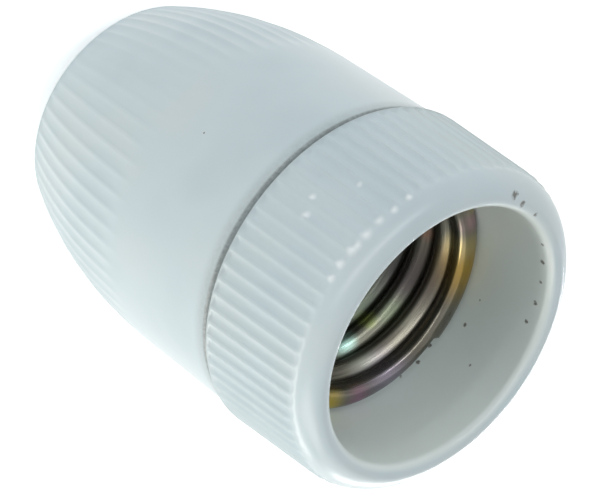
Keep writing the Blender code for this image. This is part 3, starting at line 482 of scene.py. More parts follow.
# Runs the trees over a piece and keeps the result as its plain mesh.
def shapeWith(item, steps):
    for tree, values in steps:
        modifier = item.modifiers.new(tree.name, "NODES")
        modifier.node_group = tree
        for socket in tree.interface.items_tree:
            if socket.in_out == "INPUT" and socket.name in values:
                modifier[socket.identifier] = values[socket.name]
    keepResult(item)


def keepResult(item):
    result = item.evaluated_get(bpy.context.evaluated_depsgraph_get())
    mesh = bpy.data.meshes.new_from_object(result)
    item.modifiers.clear()
    item.data = mesh
    for spare in [a.name for a in mesh.attributes if a.name in ("fluted", "threaded")]:
        mesh.attributes.remove(mesh.attributes[spare])
    mesh.name = item.name


# Adds, cuts or keeps the overlap with a tool that is then thrown away.
def combine(item, tool, operation="DIFFERENCE"):
    step = item.modifiers.new(tool.name, "BOOLEAN")
    step.object = tool
    step.operation = operation
    step.solver = "EXACT"
    keepResult(item)
    bpy.data.objects.remove(tool)


def linkNew(name, work):
    mesh = bpy.data.meshes.new(name)
    work.to_mesh(mesh)
    work.free()
    item = bpy.data.objects.new(name, mesh)
    bpy.context.scene.collection.objects.link(item)
    return item


throughAll = 30 * mm  # longer than any piece that is cut right through


def makeBar(radius, length, place, sides=48, turn=Matrix.Identity(4)):
    work = bmesh.new()
    bmesh.ops.create_cone(work, cap_ends=True, segments=sides, radius1=radius, radius2=radius, depth=length,
                          matrix=Matrix.Translation(place) @ turn)
    return linkNew("bar", work)


def makeBox(size, place, bevel=0.0):
    work = bmesh.new()
    bmesh.ops.create_cube(work, size=1.0, matrix=Matrix.Translation(place) @ Matrix.Diagonal((*size, 1.0)))
    if bevel:
        bmesh.ops.bevel(work, geom=work.edges[:], offset=bevel, segments=3, profile=0.5, affect="EDGES")
    return linkNew("box", work)


def dress(item, material):
    item.data.materials.clear()
    item.data.materials.append(material)


# Puts a piece's place into its mesh, so that the object sits at the origin, and says what it is.
def finishPiece(item, body, node, material=None):
    item.data.transform(item.matrix_basis)
    item.matrix_basis = Matrix.Identity(4)
    if material:  # a piece that no tree has dressed
        dress(item, material)
    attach(item, body)
    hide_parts(node)


# Cuts a screwdriver slot across the top of a piece.
def makeSlotTree():
    tree, given = newTree("screwdriverSlot", [("Length", "Float"), ("Width", "Float"), ("Depth", "Float"),
                                              ("Top", "Float"), ("Material", "Material")])
    tall = addNode(tree, "ShaderNodeMath", {0: given["Depth"], 1: 2.0}, operation="MULTIPLY")
    size = addNode(tree, "ShaderNodeCombineXYZ", {0: given["Length"], 1: given["Width"], 2: tall})
    blade = addNode(tree, "GeometryNodeMeshCube", {"Size": size})
    spot = addNode(tree, "ShaderNodeCombineXYZ", {2: given["Top"]})
    raised = addNode(tree, "GeometryNodeTransform", {"Geometry": blade, "Translation": spot})
    cut = addNode(tree, "GeometryNodeMeshBoolean", {"Mesh 1": given["Geometry"], "Mesh 2": raised},
                  operation="DIFFERENCE", solver="EXACT")
    solid = addNode(tree, "GeometryNodeRealizeInstances", {"Geometry": cut})
    dressed = addNode(tree, "GeometryNodeSetMaterial", {"Geometry": solid, "Material": given["Material"]})
    addNode(tree, "NodeGroupOutput", {"Geometry": dressed})
    return tree


fluteTree = makeFluteTree()
ridgeTree = makeThreadTree("mouldedThread", False)
rollTree = makeThreadTree("rolledThread", True)
slotTree = makeSlotTree()
lowestPoint, highestPoint = (Vector(corner) for corner in cadBox)
softEdge = 0.3 * mm  # the usual rounding of an edge in moulded porcelain

# Cap: tapered end, one long ribbed arc up to the plain collar; inside, the wire space, the
# carrier's shelf and the coarse thread bore.
cap = {
    "height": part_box("cap")[1].z, "collarRadius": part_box("cap")[1].x, "collarFoot": 28.0 * mm,
    "plainFrom": 2 * mm, "bodyArc": 60.0 * mm, "bodySteps": 32, "endRadius": 10.33 * mm,
    "taper": 4.4 * mm, "taperRound": 0.7 * mm, "edgeRound": 1.5 * mm,
    "ribs": 60, "ribDepth": 0.2 * mm, "ribFoot": (-0.3 * mm, 0.7 * mm), "ribHead": (-4.5 * mm, 0.5 * mm),
    "recess": (8.73 * mm, 2.6 * mm), "recessRound": 0.25 * mm, "entryRadius": 6.5 * mm, "floor": 6.0 * mm,
    "wireSpace": ((11.8 * mm, 7.5 * mm), (14.8 * mm, 20.5 * mm)), "floorRound": (1.2 * mm, 0.6 * mm),
    "floorSlope": 1.5 * mm, "shelf": 24.5 * mm, "seatRadius": 16.6 * mm,
    "boreRadius": 16.9 * mm, "boreFoot": 32.0 * mm, "mouthChamfer": 1.3 * mm,
    "pitch": 3.0 * mm, "threadDepth": 1.0 * mm, "threadStart": 35.1 * mm,
    "crestWidth": 1.3 * mm, "rootWidth": 2.2 * mm, "threadFade": (33.0 * mm, 34.0 * mm),
}


def capRadius(z):
    drop = max(0.0, cap["collarFoot"] - z)
    return cap["collarRadius"] - cap["bodyArc"] + sqrt(cap["bodyArc"] ** 2 - drop ** 2)


def makeCap(material):
    top, taper, collarFoot = cap["height"], cap["taper"], cap["collarFoot"]
    corners = [(cap["recess"][0], 0.0, cap["recessRound"]), (cap["endRadius"], 0.0, cap["taperRound"]),
               (capRadius(taper), taper, cap["taperRound"], "fluted")]
    for k in range(1, cap["bodySteps"] + 1):
        z = taper + (collarFoot - taper) * k / cap["bodySteps"]
        corners.append((capRadius(z), z, 0.0, "fluted"))
    corners += [(cap["collarRadius"], collarFoot + cap["plainFrom"]),
                (cap["collarRadius"], top, cap["edgeRound"])]
    bore, boreFoot, chamfer = cap["boreRadius"], cap["boreFoot"], cap["mouthChamfer"]
    low, high = cap["wireSpace"]
    corners += [(bore + chamfer, top, softEdge), (bore, top - chamfer, softEdge, "threaded"),
                (bore, boreFoot + softEdge), (cap["seatRadius"], boreFoot),
                (cap["seatRadius"], cap["shelf"], softEdge), (high[0], cap["shelf"], softEdge), high,
                (*low, cap["floorRound"][0]),
                (low[0] - cap["floorSlope"], cap["floor"], cap["floorRound"][1]),
                (cap["entryRadius"], cap["floor"], softEdge),
                (cap["entryRadius"], cap["recess"][1], cap["recessRound"]), (*cap["recess"], 0.2 * mm)]
    body = turnProfile("capShell", roundCorners(corners, spacing), meshPerRib * cap["ribs"])
    shapeWith(body, [
        (fluteTree, {"Count": float(cap["ribs"]), "Depth": cap["ribDepth"],
                     "Foot Start": taper + cap["ribFoot"][0], "Foot End": taper + cap["ribFoot"][1],
                     "Head Start": collarFoot + cap["ribHead"][0],
                     "Head End": collarFoot + cap["ribHead"][1], "Material": material}),
        (ridgeTree, {"Pitch": cap["pitch"], "Depth": cap["threadDepth"], "Start": cap["threadStart"],
                     "Crest Width": cap["crestWidth"], "Root Width": cap["rootWidth"],
                     "Foot Start": cap["threadFade"][0], "Foot End": cap["threadFade"][1],
                     "Head Start": top, "Head End": top + mm, "Material": material})])
    finishPiece(body, "holder_cap", "cap")


# Skirt: fluted ring with a full round rim. Its neck carries the coarse thread; the ledge in the mouth
# hangs under the lip of the screw shell.
skirt = {
    "top": highestPoint.z, "seam": 45.5 * mm, "seamRound": 0.35 * mm, "edgeRadius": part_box("skirt")[1].x,
    "rimRadius": 20.7 * mm, "rimRound": (3.0 * mm, 3.4 * mm), "rimPower": 1.65, "rimSteps": 32,
    "lipRound": 1.2 * mm, "lipSteps": 14, "mouthRadius": 16.3 * mm, "draft": 0.2 * mm,
    "ledge": 48.8 * mm, "neckBore": 14.5 * mm, "neckRadius": 16.6 * mm, "neckEnd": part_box("skirt")[0].z,
    "neckRound": 0.2 * mm, "flutes": 72, "fluteDepth": 0.45 * mm, "fluteFoot": (2 * mm, mm),
    "fluteEnd": 60.1 * mm, "fluteEndLength": 1.3 * mm,
    "pitch": 3.0 * mm, "threadDepth": 1.0 * mm, "threadStart": 35.1 * mm, "threadEnd": 43.6 * mm,
    "crestWidth": 0.7 * mm, "rootWidth": 1.7 * mm, "threadFoot": (0.4 * mm, 1.6 * mm),
}


def makeSkirt(material):
    top, seam, neckEnd, ledge = skirt["top"], skirt["seam"], skirt["neckEnd"], skirt["ledge"]
    foot = top - skirt["rimRound"][1]
    crest = skirt["rimRadius"] - skirt["rimRound"][0]
    lip = skirt["lipRound"]
    corners = [(skirt["edgeRadius"], seam, skirt["seamRound"], "fluted")]
    corners += ellipseArc((crest, foot), skirt["rimRound"], 0, 90, skirt["rimSteps"], "fluted",
                          skirt["rimPower"])
    corners += ellipseArc((skirt["mouthRadius"] + lip, top - lip), (lip, lip), 90, 180, skirt["lipSteps"])
    corners += [(skirt["mouthRadius"] - skirt["draft"], ledge, softEdge),
                (skirt["neckBore"], ledge, softEdge), (skirt["neckBore"], neckEnd, softEdge),
                (skirt["neckRadius"], neckEnd, softEdge, "threaded"),
                (skirt["neckRadius"], seam, skirt["neckRound"])]
    body = turnProfile("skirtRing", roundCorners(corners, spacing), meshPerRib * skirt["flutes"])
    shapeWith(body, [
        (fluteTree, {"Count": float(skirt["flutes"]), "Depth": skirt["fluteDepth"],
                     "Foot Start": seam - skirt["fluteFoot"][0], "Foot End": seam - skirt["fluteFoot"][1],
                     "Head Start": skirt["fluteEnd"] - skirt["fluteEndLength"],
                     "Head End": skirt["fluteEnd"], "Material": material}),
        (ridgeTree, {"Pitch": skirt["pitch"], "Depth": skirt["threadDepth"], "Start": skirt["threadStart"],
                     "Crest Width": skirt["crestWidth"], "Root Width": skirt["rootWidth"],
                     "Foot Start": neckEnd + skirt["threadFoot"][0],
                     "Foot End": neckEnd + skirt["threadFoot"][1], "Head Start": skirt["threadEnd"],
                     "Head End": skirt["threadEnd"] + mm, "Material": material})])
    finishPiece(body, "skirt_body", "skirt")


# Wear and painted light: grime with painted shade in the seam, chips along the mouth, dirt at the ledge in
# it, and drops in the glaze, painted near-white as highlights. Seams are (start, end, strength, colour),
# marks (centre, radius, strength), drops (centre, radius).
wearAndPaintedLight = {
    # seam bands: the cap's soft first band is painted shade under the skirt's edge, its dark core and the skirt's
    # band grime with painted shade in the joint
    "capSeamShadeAndGrime": [(42.4 * mm, 44.3 * mm, 0.36, "#8E9B9A"), (44.2 * mm, 44.6 * mm, 0.75, "#5E6160")],
    "skirtSeamShadeAndGrime": [(45.75 * mm, 45.5 * mm, 0.65, "#5C5E5A")],
    "marks": [((x * mm, y * mm, z * mm), reach * mm, strength) for x, y, z, reach, strength in (
        (-17.4, -5.5, 61.9, 1.3, 0.52), (-17.2, -3.5, 61.9, 1.1, 0.5), (-17.2, -0.1, 61.9, 0.9, 0.42),
        (-15.3, 5.8, 61.0, 0.6, 0.55), (-13.9, 8.7, 60.5, 0.8, 0.58), (-12.0, 11.2, 60.2, 0.7, 0.56),
        (-9.7, 13.2, 59.9, 0.8, 0.54), (-7.4, 14.6, 59.6, 0.7, 0.56),
        (0.1, 16.2, 48.9, 1.1, 0.62), (3.9, 15.7, 49.6, 0.7, 0.6), (-3.0, 15.9, 51.8, 0.6, 0.54),
        (0.6, 16.2, 55.5, 0.5, 0.5), (6.5, 14.9, 49.3, 0.6, 0.58), (1.4, 16.1, 49.3, 0.7, 0.58),
        (-6.4, 14.9, 52.2, 0.5, 0.5))],
    # glaze drops along the flute ends; the pale colour they are given is a painted highlight
    "glazeDropsAndHighlights": [((x * mm, y * mm, z * mm), reach * mm) for x, y, z, reach in (
        (-2.2, -20.5, 51.8, 0.8), (-4.2, -20.2, 50.8, 0.65), (-8.2, -19.0, 54.0, 0.55),
        (1.7, -20.4, 59.5, 0.7), (-0.1, -20.5, 59.4, 0.8), (-2.0, -20.4, 59.5, 0.9), (-2.7, -20.3, 59.6, 0.8),
        (-4.2, -20.0, 59.5, 0.95), (-6.2, -19.5, 59.4, 0.8), (-8.1, -18.8, 59.7, 0.7),
        (-10.1, -17.8, 59.6, 0.6))],
}

# Screw shell: sheet rolled to the round lamp thread, with its lip curled out over the skirt's ledge.
shell = {
    "sheet": 0.4 * mm, "pitch": 3.62 * mm, "meanRadius": 13.05 * mm, "swing": 0.65 * mm,
    "lipRadius": 15.8 * mm, "lipHeight": 49.35 * mm, "lipRise": 0.85 * mm, "curlAngle": 160, "curlSteps": 18,
    "curlFoot": 0.6 * mm, "threadStart": 47.3 * mm, "threadFade": (2 * mm, 1.6 * mm),
    "lipFrom": 13.7 * mm, "lipStep": radians(90), "lipLoss": 0.5, "lipLossTurns": 0.4,
    "floor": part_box("screw_shell")[0].z + 0.2 * mm, "floorCorner": 1.0 * mm, "floorHole": 8.0 * mm,
    "screwCircle": 10.4 * mm, "screwHole": 1.3 * mm, "drillDepth": 3 * mm, "segments": 192,
}


def makeShell(material):
    mean, lip, top = shell["meanRadius"], shell["lipRadius"], shell["lipHeight"]
    foot, corner = shell["floor"], shell["floorCorner"]
    curl = ellipseArc(((lip + mean) / 2, top), ((lip - mean) / 2, shell["lipRise"]), 0, shell["curlAngle"],
                      shell["curlSteps"])
    corners = curl + [(mean, top - shell["curlFoot"], 0.0, "threaded"), (mean, foot, corner),
                      (shell["floorHole"], foot)]
    points = roundCorners(corners, spacing, closed=False)
    body = turnProfile("screwShell", points, shell["segments"], closed=False)
    footFade, headFade = shell["threadFade"]
    shapeWith(body, [
        (rollTree, {"Pitch": shell["pitch"], "Depth": shell["swing"], "Start": shell["threadStart"],
                    "Foot Start": foot + corner, "Foot End": foot + corner + footFade,
                    "Head Start": top - headFade, "Head End": top, "Material": material})])
    # the curled lip was trimmed along a spiral, so it has one step
    for vertex in body.data.vertices:
        r = hypot(vertex.co.x, vertex.co.y)
        if r > shell["lipFrom"] and vertex.co.z > top - mm:
            turned = (atan2(vertex.co.y, vertex.co.x) - shell["lipStep"]) / (2 * pi) % 1.0
            loss = max(0.0, (turned - 1.0) / shell["lipLossTurns"] + 1.0) ** 2 * shell["lipLoss"]
            scale = (shell["lipFrom"] + (r - shell["lipFrom"]) * (1.0 - loss)) / r
            vertex.co.x *= scale
            vertex.co.y *= scale
    sheet = body.modifiers.new("sheet", "SOLIDIFY")
    sheet.thickness = shell["sheet"]
    sheet.offset = 0.0
    keepResult(body)
    for sign in (1, -1):
        place = (0, sign * shell["screwCircle"], foot)
        combine(body, makeBar(shell["screwHole"], shell["drillDepth"], place, 32))
    body.data.shade_smooth()
    finishPiece(body, "carrier", "screw_shell")


# Pressed steatite disc: raised rim, island round the centre contact, pockets for what sits in it.
carrier = {
    "radius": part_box("contact_carrier")[1].x, "foot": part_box("contact_carrier")[0].z,
    "rimTop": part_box("contact_carrier")[1].z, "rimHeight": 1.2 * mm, "rimWidth": 1.7 * mm,
    "footRound": 0.5 * mm, "islandRadius": 7.5 * mm, "islandHeight": 1.0 * mm, "screwPlay": 0.2 * mm,
    "blockSize": (8.4 * mm, 6.4 * mm), "blockSink": 3.4 * mm, "nut": (2.86 * mm, 2.2 * mm),
    "notch": (3.0 * mm, 4.6 * mm, 5.0 * mm), "notchOut": 0.3 * mm, "segments": 128,
}


def centreOf(node):
    low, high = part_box(node)
    return (low + high) / 2


def makeCarrier(material):
    radius, foot, rimTop = carrier["radius"], carrier["foot"], carrier["rimTop"]
    floor = rimTop - carrier["rimHeight"]
    inner = radius - carrier["rimWidth"]
    island = (carrier["islandRadius"], floor + carrier["islandHeight"])
    corners = [(0.0, foot), (radius, foot, carrier["footRound"]), (radius, rimTop, softEdge),
               (inner, rimTop, softEdge), (inner, floor, softEdge), (island[0], floor, softEdge),
               (*island, softEdge), (0.0, island[1])]
    points = roundCorners(corners, spacing, closed=False)
    body = turnProfile("carrierDisc", points, carrier["segments"], closed=False)
    keepResult(body)
    for label in ("centre", "side"):
        place = centreOf("terminal_block_" + label)
        place.z = foot
        combine(body, makeBox((*carrier["blockSize"], 2 * carrier["blockSink"]), place))
    for node in ("centre_screw", "shell_screw_side", "shell_screw_plain"):
        place = centreOf(node)
        combine(body, makeBar(screws[node]["shank"] + carrier["screwPlay"], throughAll, place))
    nutRadius, nutDepth = carrier["nut"]
    place = centreOf("shell_nut")
    place.z = foot
    combine(body, makeBar(nutRadius, 2 * nutDepth, place, 6, Matrix.Rotation(pi / 6, 4, "Z")))
    deep, wide, tall = carrier["notch"]
    for sign in (1, -1):
        combine(body, makeBox((wide, deep, tall), (0, sign * (radius + carrier["notchOut"]), foot)))
    finishPiece(body, "carrier", "contact_carrier", material)


# Cheese-head screws: head (radius, height), shank radius, whether the head faces down, and body.
screws = {
    "centre_screw": {"head": (2.1 * mm, 1.2 * mm), "shank": 1.3 * mm, "down": False, "body": "carrier"},
    "shell_screw_side": {"head": (1.9 * mm, 1.2 * mm), "shank": 1.1 * mm, "down": False, "body": "carrier"},
    "shell_screw_plain": {"head": (1.9 * mm, 1.2 * mm), "shank": 1.1 * mm, "down": False, "body": "carrier"},
    "clamp_screw_centre": {"head": (2.6 * mm, 1.9 * mm), "shank": 1.6 * mm, "down": True,
                           "body": "clamp_centre_body"},
    "clamp_screw_side": {"head": (2.6 * mm, 1.9 * mm), "shank": 1.6 * mm, "down": True,
                         "body": "clamp_side_body"},
}
screwThread = {"pitch": 0.6 * mm, "swing": 0.12 * mm, "tip": 0.3 * mm, "slotWidth": 0.7 * mm, "segments": 40}
headShape = {"foot": 0.12 * mm, "side": (0.97, 0.8, 0.3 * mm), "top": (0.7, 0.4 * mm)}


def threadValues(low, high, material):
    run = screwThread["tip"]
    return {"Pitch": screwThread["pitch"], "Depth": screwThread["swing"], "Start": low, "Foot Start": low,
            "Foot End": low + run, "Head Start": high - run, "Head End": high, "Material": material}


def makeScrew(node, material):
    look = screws[node]
    low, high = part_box(node)
    headRadius, headHeight = look["head"]
    length = high.z - low.z - headHeight
    mean = look["shank"] - screwThread["swing"]
    tip = screwThread["tip"]
    sideWidth, sideHeight, sideRound = headShape["side"]
    topWidth, topRound = headShape["top"]
    corners = [(0.0, -length), (mean - tip, -length), (mean, tip - length, 0.0, "threaded"),
               (mean, 0.0), (headRadius, 0.0, headShape["foot"]),
               (headRadius * sideWidth, headHeight * sideHeight, sideRound),
               (headRadius * topWidth, headHeight, topRound), (0.0, headHeight)]
    name = "slottedScrew" + node.title().replace("_", "").replace("Screw", "")
    points = roundCorners(corners, fineSpacing, closed=False)
    body = turnProfile(name, points, screwThread["segments"], closed=False)
    shapeWith(body, [
        (rollTree, threadValues(tip - length, 0.0, material)),
        (slotTree, {"Length": 3 * headRadius, "Width": screwThread["slotWidth"], "Depth": headHeight / 2,
                    "Top": headHeight, "Material": material})])
    middle = (low + high) / 2
    under = low.z + headHeight if look["down"] else high.z - headHeight
    body.location = (middle.x, middle.y, under)
    body.rotation_euler = (pi if look["down"] else 0.0, 0.0, 0.0)
    finishPiece(body, look["body"], node)


# Brass terminal blocks: bevelled bars with a wire hole across and screw holes above and below it.
block = {
    "bevel": 0.5 * mm, "wireHole": 1.7 * mm, "wireHeight": 2.5 * mm, "clampHole": 1.75 * mm,
    "topHole": 1.4 * mm, "screwDepth": 8 * mm,
}


def makeBlock(label, material):
    node = "terminal_block_" + label
    low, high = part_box(node)
    middle = (low + high) / 2
    body = makeBox(high - low, middle, block["bevel"])
    body.name = "terminalBlock" + label.title()
    wire = Vector((middle.x, middle.y, low.z + block["wireHeight"]))
    up = Vector((0, 0, block["screwDepth"] / 2))
    combine(body, makeBar(block["wireHole"], throughAll, wire, turn=Matrix.Rotation(pi / 2, 4, "Y")))
    combine(body, makeBar(block["topHole"], block["screwDepth"], wire + up))
    combine(body, makeBar(block["clampHole"], block["screwDepth"], wire - up))
    finishPiece(body, "carrier", node, material)


# Centre contact: a brass strip bent up from under its screw to a level end.
strip = {
    "thickness": 0.5 * mm, "padEnd": -3.2 * mm, "rampEnd": -0.8 * mm, "rise": 2.2 * mm,
    "cornerRadius": 0.9 * mm, "edgeBreak": 0.1 * mm, "rows": 60, "columns": 16,
}


def makeStrip(material):
    low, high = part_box("centre_strip")
    halfWidth = (high.y - low.y) / 2
    thick, ramp, columns = strip["thickness"], strip["rampEnd"] - strip["padEnd"], strip["columns"]
    work = bmesh.new()
    rows = []
    for i in range(strip["rows"] + 1):
        x = low.x + (high.x - low.x) * i / strip["rows"]
        share = min(1.0, max(0.0, (x - strip["padEnd"]) / ramp))
        z = low.z + thick / 2 + strip["rise"] * (1 - cos(pi * share)) / 2
        inset = max(0.0, strip["cornerRadius"] - min(x - low.x, high.x - x))
        half = halfWidth - strip["cornerRadius"] + sqrt(strip["cornerRadius"] ** 2 - inset ** 2)
        rows.append([work.verts.new((x, half * (2 * k / columns - 1), z)) for k in range(columns + 1)])
    for near, far in zip(rows, rows[1:]):
        for k in range(columns):
            work.faces.new((near[k], far[k], far[k + 1], near[k + 1]))
    body = linkNew("contactStrip", work)
    sheet = body.modifiers.new("sheet", "SOLIDIFY")
    sheet.thickness = thick
    sheet.offset = 0.0
    edge = body.modifiers.new("edge", "BEVEL")
    edge.width = strip["edgeBreak"]
    edge.segments = 2
    edge.angle_limit = radians(50)
    keepResult(body)
    body.data.shade_smooth()
    dress(body, material)
    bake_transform(body, "carrier", "centre_contact", start=(strip["padEnd"], 0, 0), end=(strip["rampEnd"], 0, 0))
    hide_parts("centre_strip")


# A domed contact button, riveted to the strip's end.
button = {
    "height": mm, "domeStart": 0.25 * mm, "rivetRadius": 0.8 * mm, "domeFrom": 4, "domeSteps": 18,
    "segments": 64,
}


def makeButton(material):
    low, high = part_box("centre_button")
    middle = (low + high) / 2
    radius = (high.x - low.x) / 2
    foot = high.z - button["height"]
    base = foot + button["domeStart"]
    corners = [(0.0, low.z), (button["rivetRadius"], low.z, 0.15 * mm), (button["rivetRadius"], foot),
               (radius, foot, 0.1 * mm)]
    corners += ellipseArc((0.0, base), (radius, high.z - base), button["domeFrom"], 90, button["domeSteps"])
    points = roundCorners(corners, fineSpacing, closed=False)
    body = turnProfile("contactButton", points, button["segments"], closed=False)
    body.location = (middle.x, middle.y, 0.0)
    finishPiece(body, "centre_contact", "centre_button", material)


# Nuts: a hexagon with its corners turned off at an angle; the shares are of its corner radius.
nut = {"faceShare": 0.87, "outerShare": 1.02, "dropShare": 0.13, "angle": 30, "boreBreak": 0.15 * mm}
washer = {"edgeBreak": 0.1 * mm, "gap": 0.35 * mm}
ringSegments = 72


def makeNut(name, node, boreRadius, body, material):
    low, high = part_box(node)
    middle = (low + high) / 2
    corner = max(high.x - low.x, high.y - low.y) / 2
    face, outer = corner * nut["faceShare"], corner * nut["outerShare"]
    drop = nut["dropShare"] * corner * tan(radians(nut["angle"]))
    corners = [(boreRadius, low.z, nut["boreBreak"]), (face, low.z), (outer, low.z + drop),
               (outer, high.z - drop), (face, high.z), (boreRadius, high.z, nut["boreBreak"])]
    ring = turnProfile(name, roundCorners(corners, fineSpacing), ringSegments)
    ring.data.shade_flat()
    keepResult(ring)
    sixSides = makeBar(corner, throughAll, (0, 0, middle.z), 6, Matrix.Rotation(pi / 6, 4, "Z"))
    combine(ring, sixSides, "INTERSECT")
    ring.location = (middle.x, middle.y, 0.0)
    finishPiece(ring, body, node, material)


def makeWasher(name, node, innerRadius, body, material, gap=0.0):
    low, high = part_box(node)
    middle = (low + high) / 2
    radius = (high.y - low.y) / 2
    corners = [(r, z, washer["edgeBreak"]) for r, z in (
        (innerRadius, low.z), (radius, low.z), (radius, high.z), (innerRadius, high.z))]
    ring = turnProfile(name, roundCorners(corners, fineSpacing), ringSegments)
    keepResult(ring)
    if gap:
        combine(ring, makeBox((radius, gap, throughAll), (radius, 0, middle.z)))
    ring.location = (middle.x, middle.y, 0.0)
    finishPiece(ring, body, node, material)


# Cable entry: steel bush with a fine pipe thread, held by its thin nut; a slotted screw locks the pipe.
entry = {
    "bore": 4.5 * mm, "shank": 6.2 * mm, "swing": 0.22 * mm, "pitch": 1.0 * mm, "threadFade": 0.5 * mm,
    "leadIn": 0.3 * mm, "plainEnd": 0.6 * mm, "bossHeight": 6.0 * mm, "bossBreak": (0.2 * mm, 0.6 * mm),
    "boreBreak": 0.1 * mm, "segments": 144, "shankHole": 6.4 * mm, "lockHole": 1.7 * mm,
    "lockSlot": (0.7 * mm, 0.8 * mm), "lockTip": 0.6 * mm, "lockBreak": 0.2 * mm,
}


def makeBush(material):
    low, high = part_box("entry_bush")
    boss, boreMean, shankMean = high.y, entry["bore"] + entry["swing"], entry["shank"] - entry["swing"]
    bossFoot = high.z - entry["bossHeight"]
    lead, plainEnd, fade = entry["leadIn"], entry["plainEnd"], entry["threadFade"]
    footBreak, topBreak = entry["bossBreak"]
    corners = [(boreMean, low.z), (shankMean - lead, low.z), (shankMean, low.z + lead, 0.0, "threaded"),
               (shankMean, bossFoot - plainEnd), (shankMean, bossFoot), (boss, bossFoot, footBreak),
               (boss, high.z, topBreak), (boreMean + plainEnd, high.z, entry["boreBreak"]),
               (boreMean, high.z - plainEnd, 0.0, "threaded"), (boreMean, low.z + lead)]
    body = turnProfile("entryBush", roundCorners(corners, fineSpacing), entry["segments"])
    shapeWith(body, [
        (rollTree, {"Pitch": entry["pitch"], "Depth": entry["swing"], "Start": low.z, "Foot Start": low.z,
                    "Foot End": low.z + fade, "Head Start": high.z - 2 * fade, "Head End": high.z - fade,
                    "Material": material})])
    place = Vector((boss, 0, centreOf("lock_screw").z))
    drill = makeBar(entry["lockHole"], 2 * boss - entry["bore"], place, turn=Matrix.Rotation(pi / 2, 4, "Y"))
    combine(body, drill)
    finishPiece(body, "holder_cap", "entry_bush")


def makeLockScrew(material):
    low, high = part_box("lock_screw")
    radius, length = (high.y - low.y) / 2, high.x - low.x
    mean = radius - screwThread["swing"]
    tip, top = entry["lockTip"], length - entry["lockBreak"]
    corners = [(0.0, 0.0), (mean - tip, 0.0), (mean, tip, 0.0, "threaded"), (mean, top),
               (mean - entry["lockBreak"], length), (0.0, length)]
    points = roundCorners(corners, fineSpacing, closed=False)
    body = turnProfile("lockScrew", points, screwThread["segments"], closed=False)
    slotWidth, slotDepth = entry["lockSlot"]
    shapeWith(body, [
        (rollTree, threadValues(tip, top, material)),
        (slotTree, {"Length": 3 * radius, "Width": slotWidth, "Depth": slotDepth, "Top": length,
                    "Material": material})])
    body.location = (low.x, 0.0, (low.z + high.z) / 2)
    body.rotation_euler = (0.0, pi / 2, 0.0)
    finishPiece(body, "lock_screw_body", "lock_screw")


porcelain = makePorcelain("glazedPorcelain", wearAndPaintedLight["capSeamShadeAndGrime"])
skirtPorcelain = makePorcelain("glazedPorcelainRing", wearAndPaintedLight["skirtSeamShadeAndGrime"], skirt["mouthRadius"], wearAndPaintedLight["marks"],
                               wearAndPaintedLight["glazeDropsAndHighlights"])
passivatedSteel = makePassivatedSteel("yellowPassivatedSteel")
fittings = {name: makeFitting(name) for name in fittingLooks}
steel, brass = fittings["zincPlatedSteel"], fittings["brass"]
makeCap(porcelain)
makeSkirt(skirtPorcelain)
makeShell(passivatedSteel)
print("porcelain and screw shell made")

makeCarrier(fittings["steatite"])
for name in screws:
    makeScrew(name, steel)
for label in ("centre", "side"):
    makeBlock(label, brass)
makeStrip(brass)
makeButton(brass)
for label in ("side", "plain"):
    makeWasher("springWasher" + label.title(), "spring_washer_" + label, shell["screwHole"], "carrier",
               steel, washer["gap"])
makeNut("shellNut", "shell_nut", shell["screwHole"], "carrier", steel)
print("contacts and terminals made")

makeBush(steel)
makeNut("entryNut", "entry_nut", entry["shankHole"], "holder_cap", steel)
makeWasher("entryWasher", "entry_washer", entry["shankHole"], "holder_cap",
           fittings["vulcanisedFibre"])
makeLockScrew(steel)
print("cable entry made")

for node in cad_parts.values():  # the solids, also those that a piece replaces
    dress(node, steel)

# Plain pale floor, soft lamps, and the camera where the photograph was taken from.
stage = {
    "floorColour": "#F7F8F8", "floorSize": 3.0, "floorDrop": 0.05 * mm, "floorRoughness": 0.9,
    "floorGlow": 0.09, "floorSeenGlow": 0.5,
    "fill": (0.08, 1.0), "fillFrom": (-0.76, 0.25, -0.6),
    "softboxes": [  # place, (width, height), watts, colour
        ((0.9, -0.1, 0.07), (1.5, 0.12), 5.5, "#FFFAF3"),
        ((0.7, 0.2, 0.52), (0.6, 0.3), 1.8, "#FFFAF3"),
        ((-0.2, -0.43, 0.72), (1.0, 0.1), 1.8, "#FFFFFF"),
        ((0.2, 0.9, 0.05), (0.9, 0.09), 3.2, "#FFFFFF"),
        ((-0.23, -0.75, 0.17), (0.7, 0.02), 0.3, "#FFFFFF"),
    ],
}
# The mouth's centre falls on mouthPixel in the photograph; tilt and roll are in degrees.
view = {
    "focalPixels": 2500.0, "frame": (600, 500), "mouthPixel": (446.08, 341.21),
    "mouthDistance": 277.94 * mm, "tilt": 51.28, "roll": 35.69, "sensor": 36.0, "clip": (0.01, 10.0),
}


# One where the background is seen, either directly or in a metal or the glaze.
def whereSeen(tree):
    path = addNode(tree, "ShaderNodeLightPath").outputs
    mirrored = addNode(tree, "ShaderNodeMath", {0: path["Is Glossy Ray"], 1: path["Is Transmission Ray"]},
                       operation="MAXIMUM")
    seen = addNode(tree, "ShaderNodeMath", {0: path["Is Camera Ray"], 1: mirrored}, operation="MAXIMUM")
    return seen


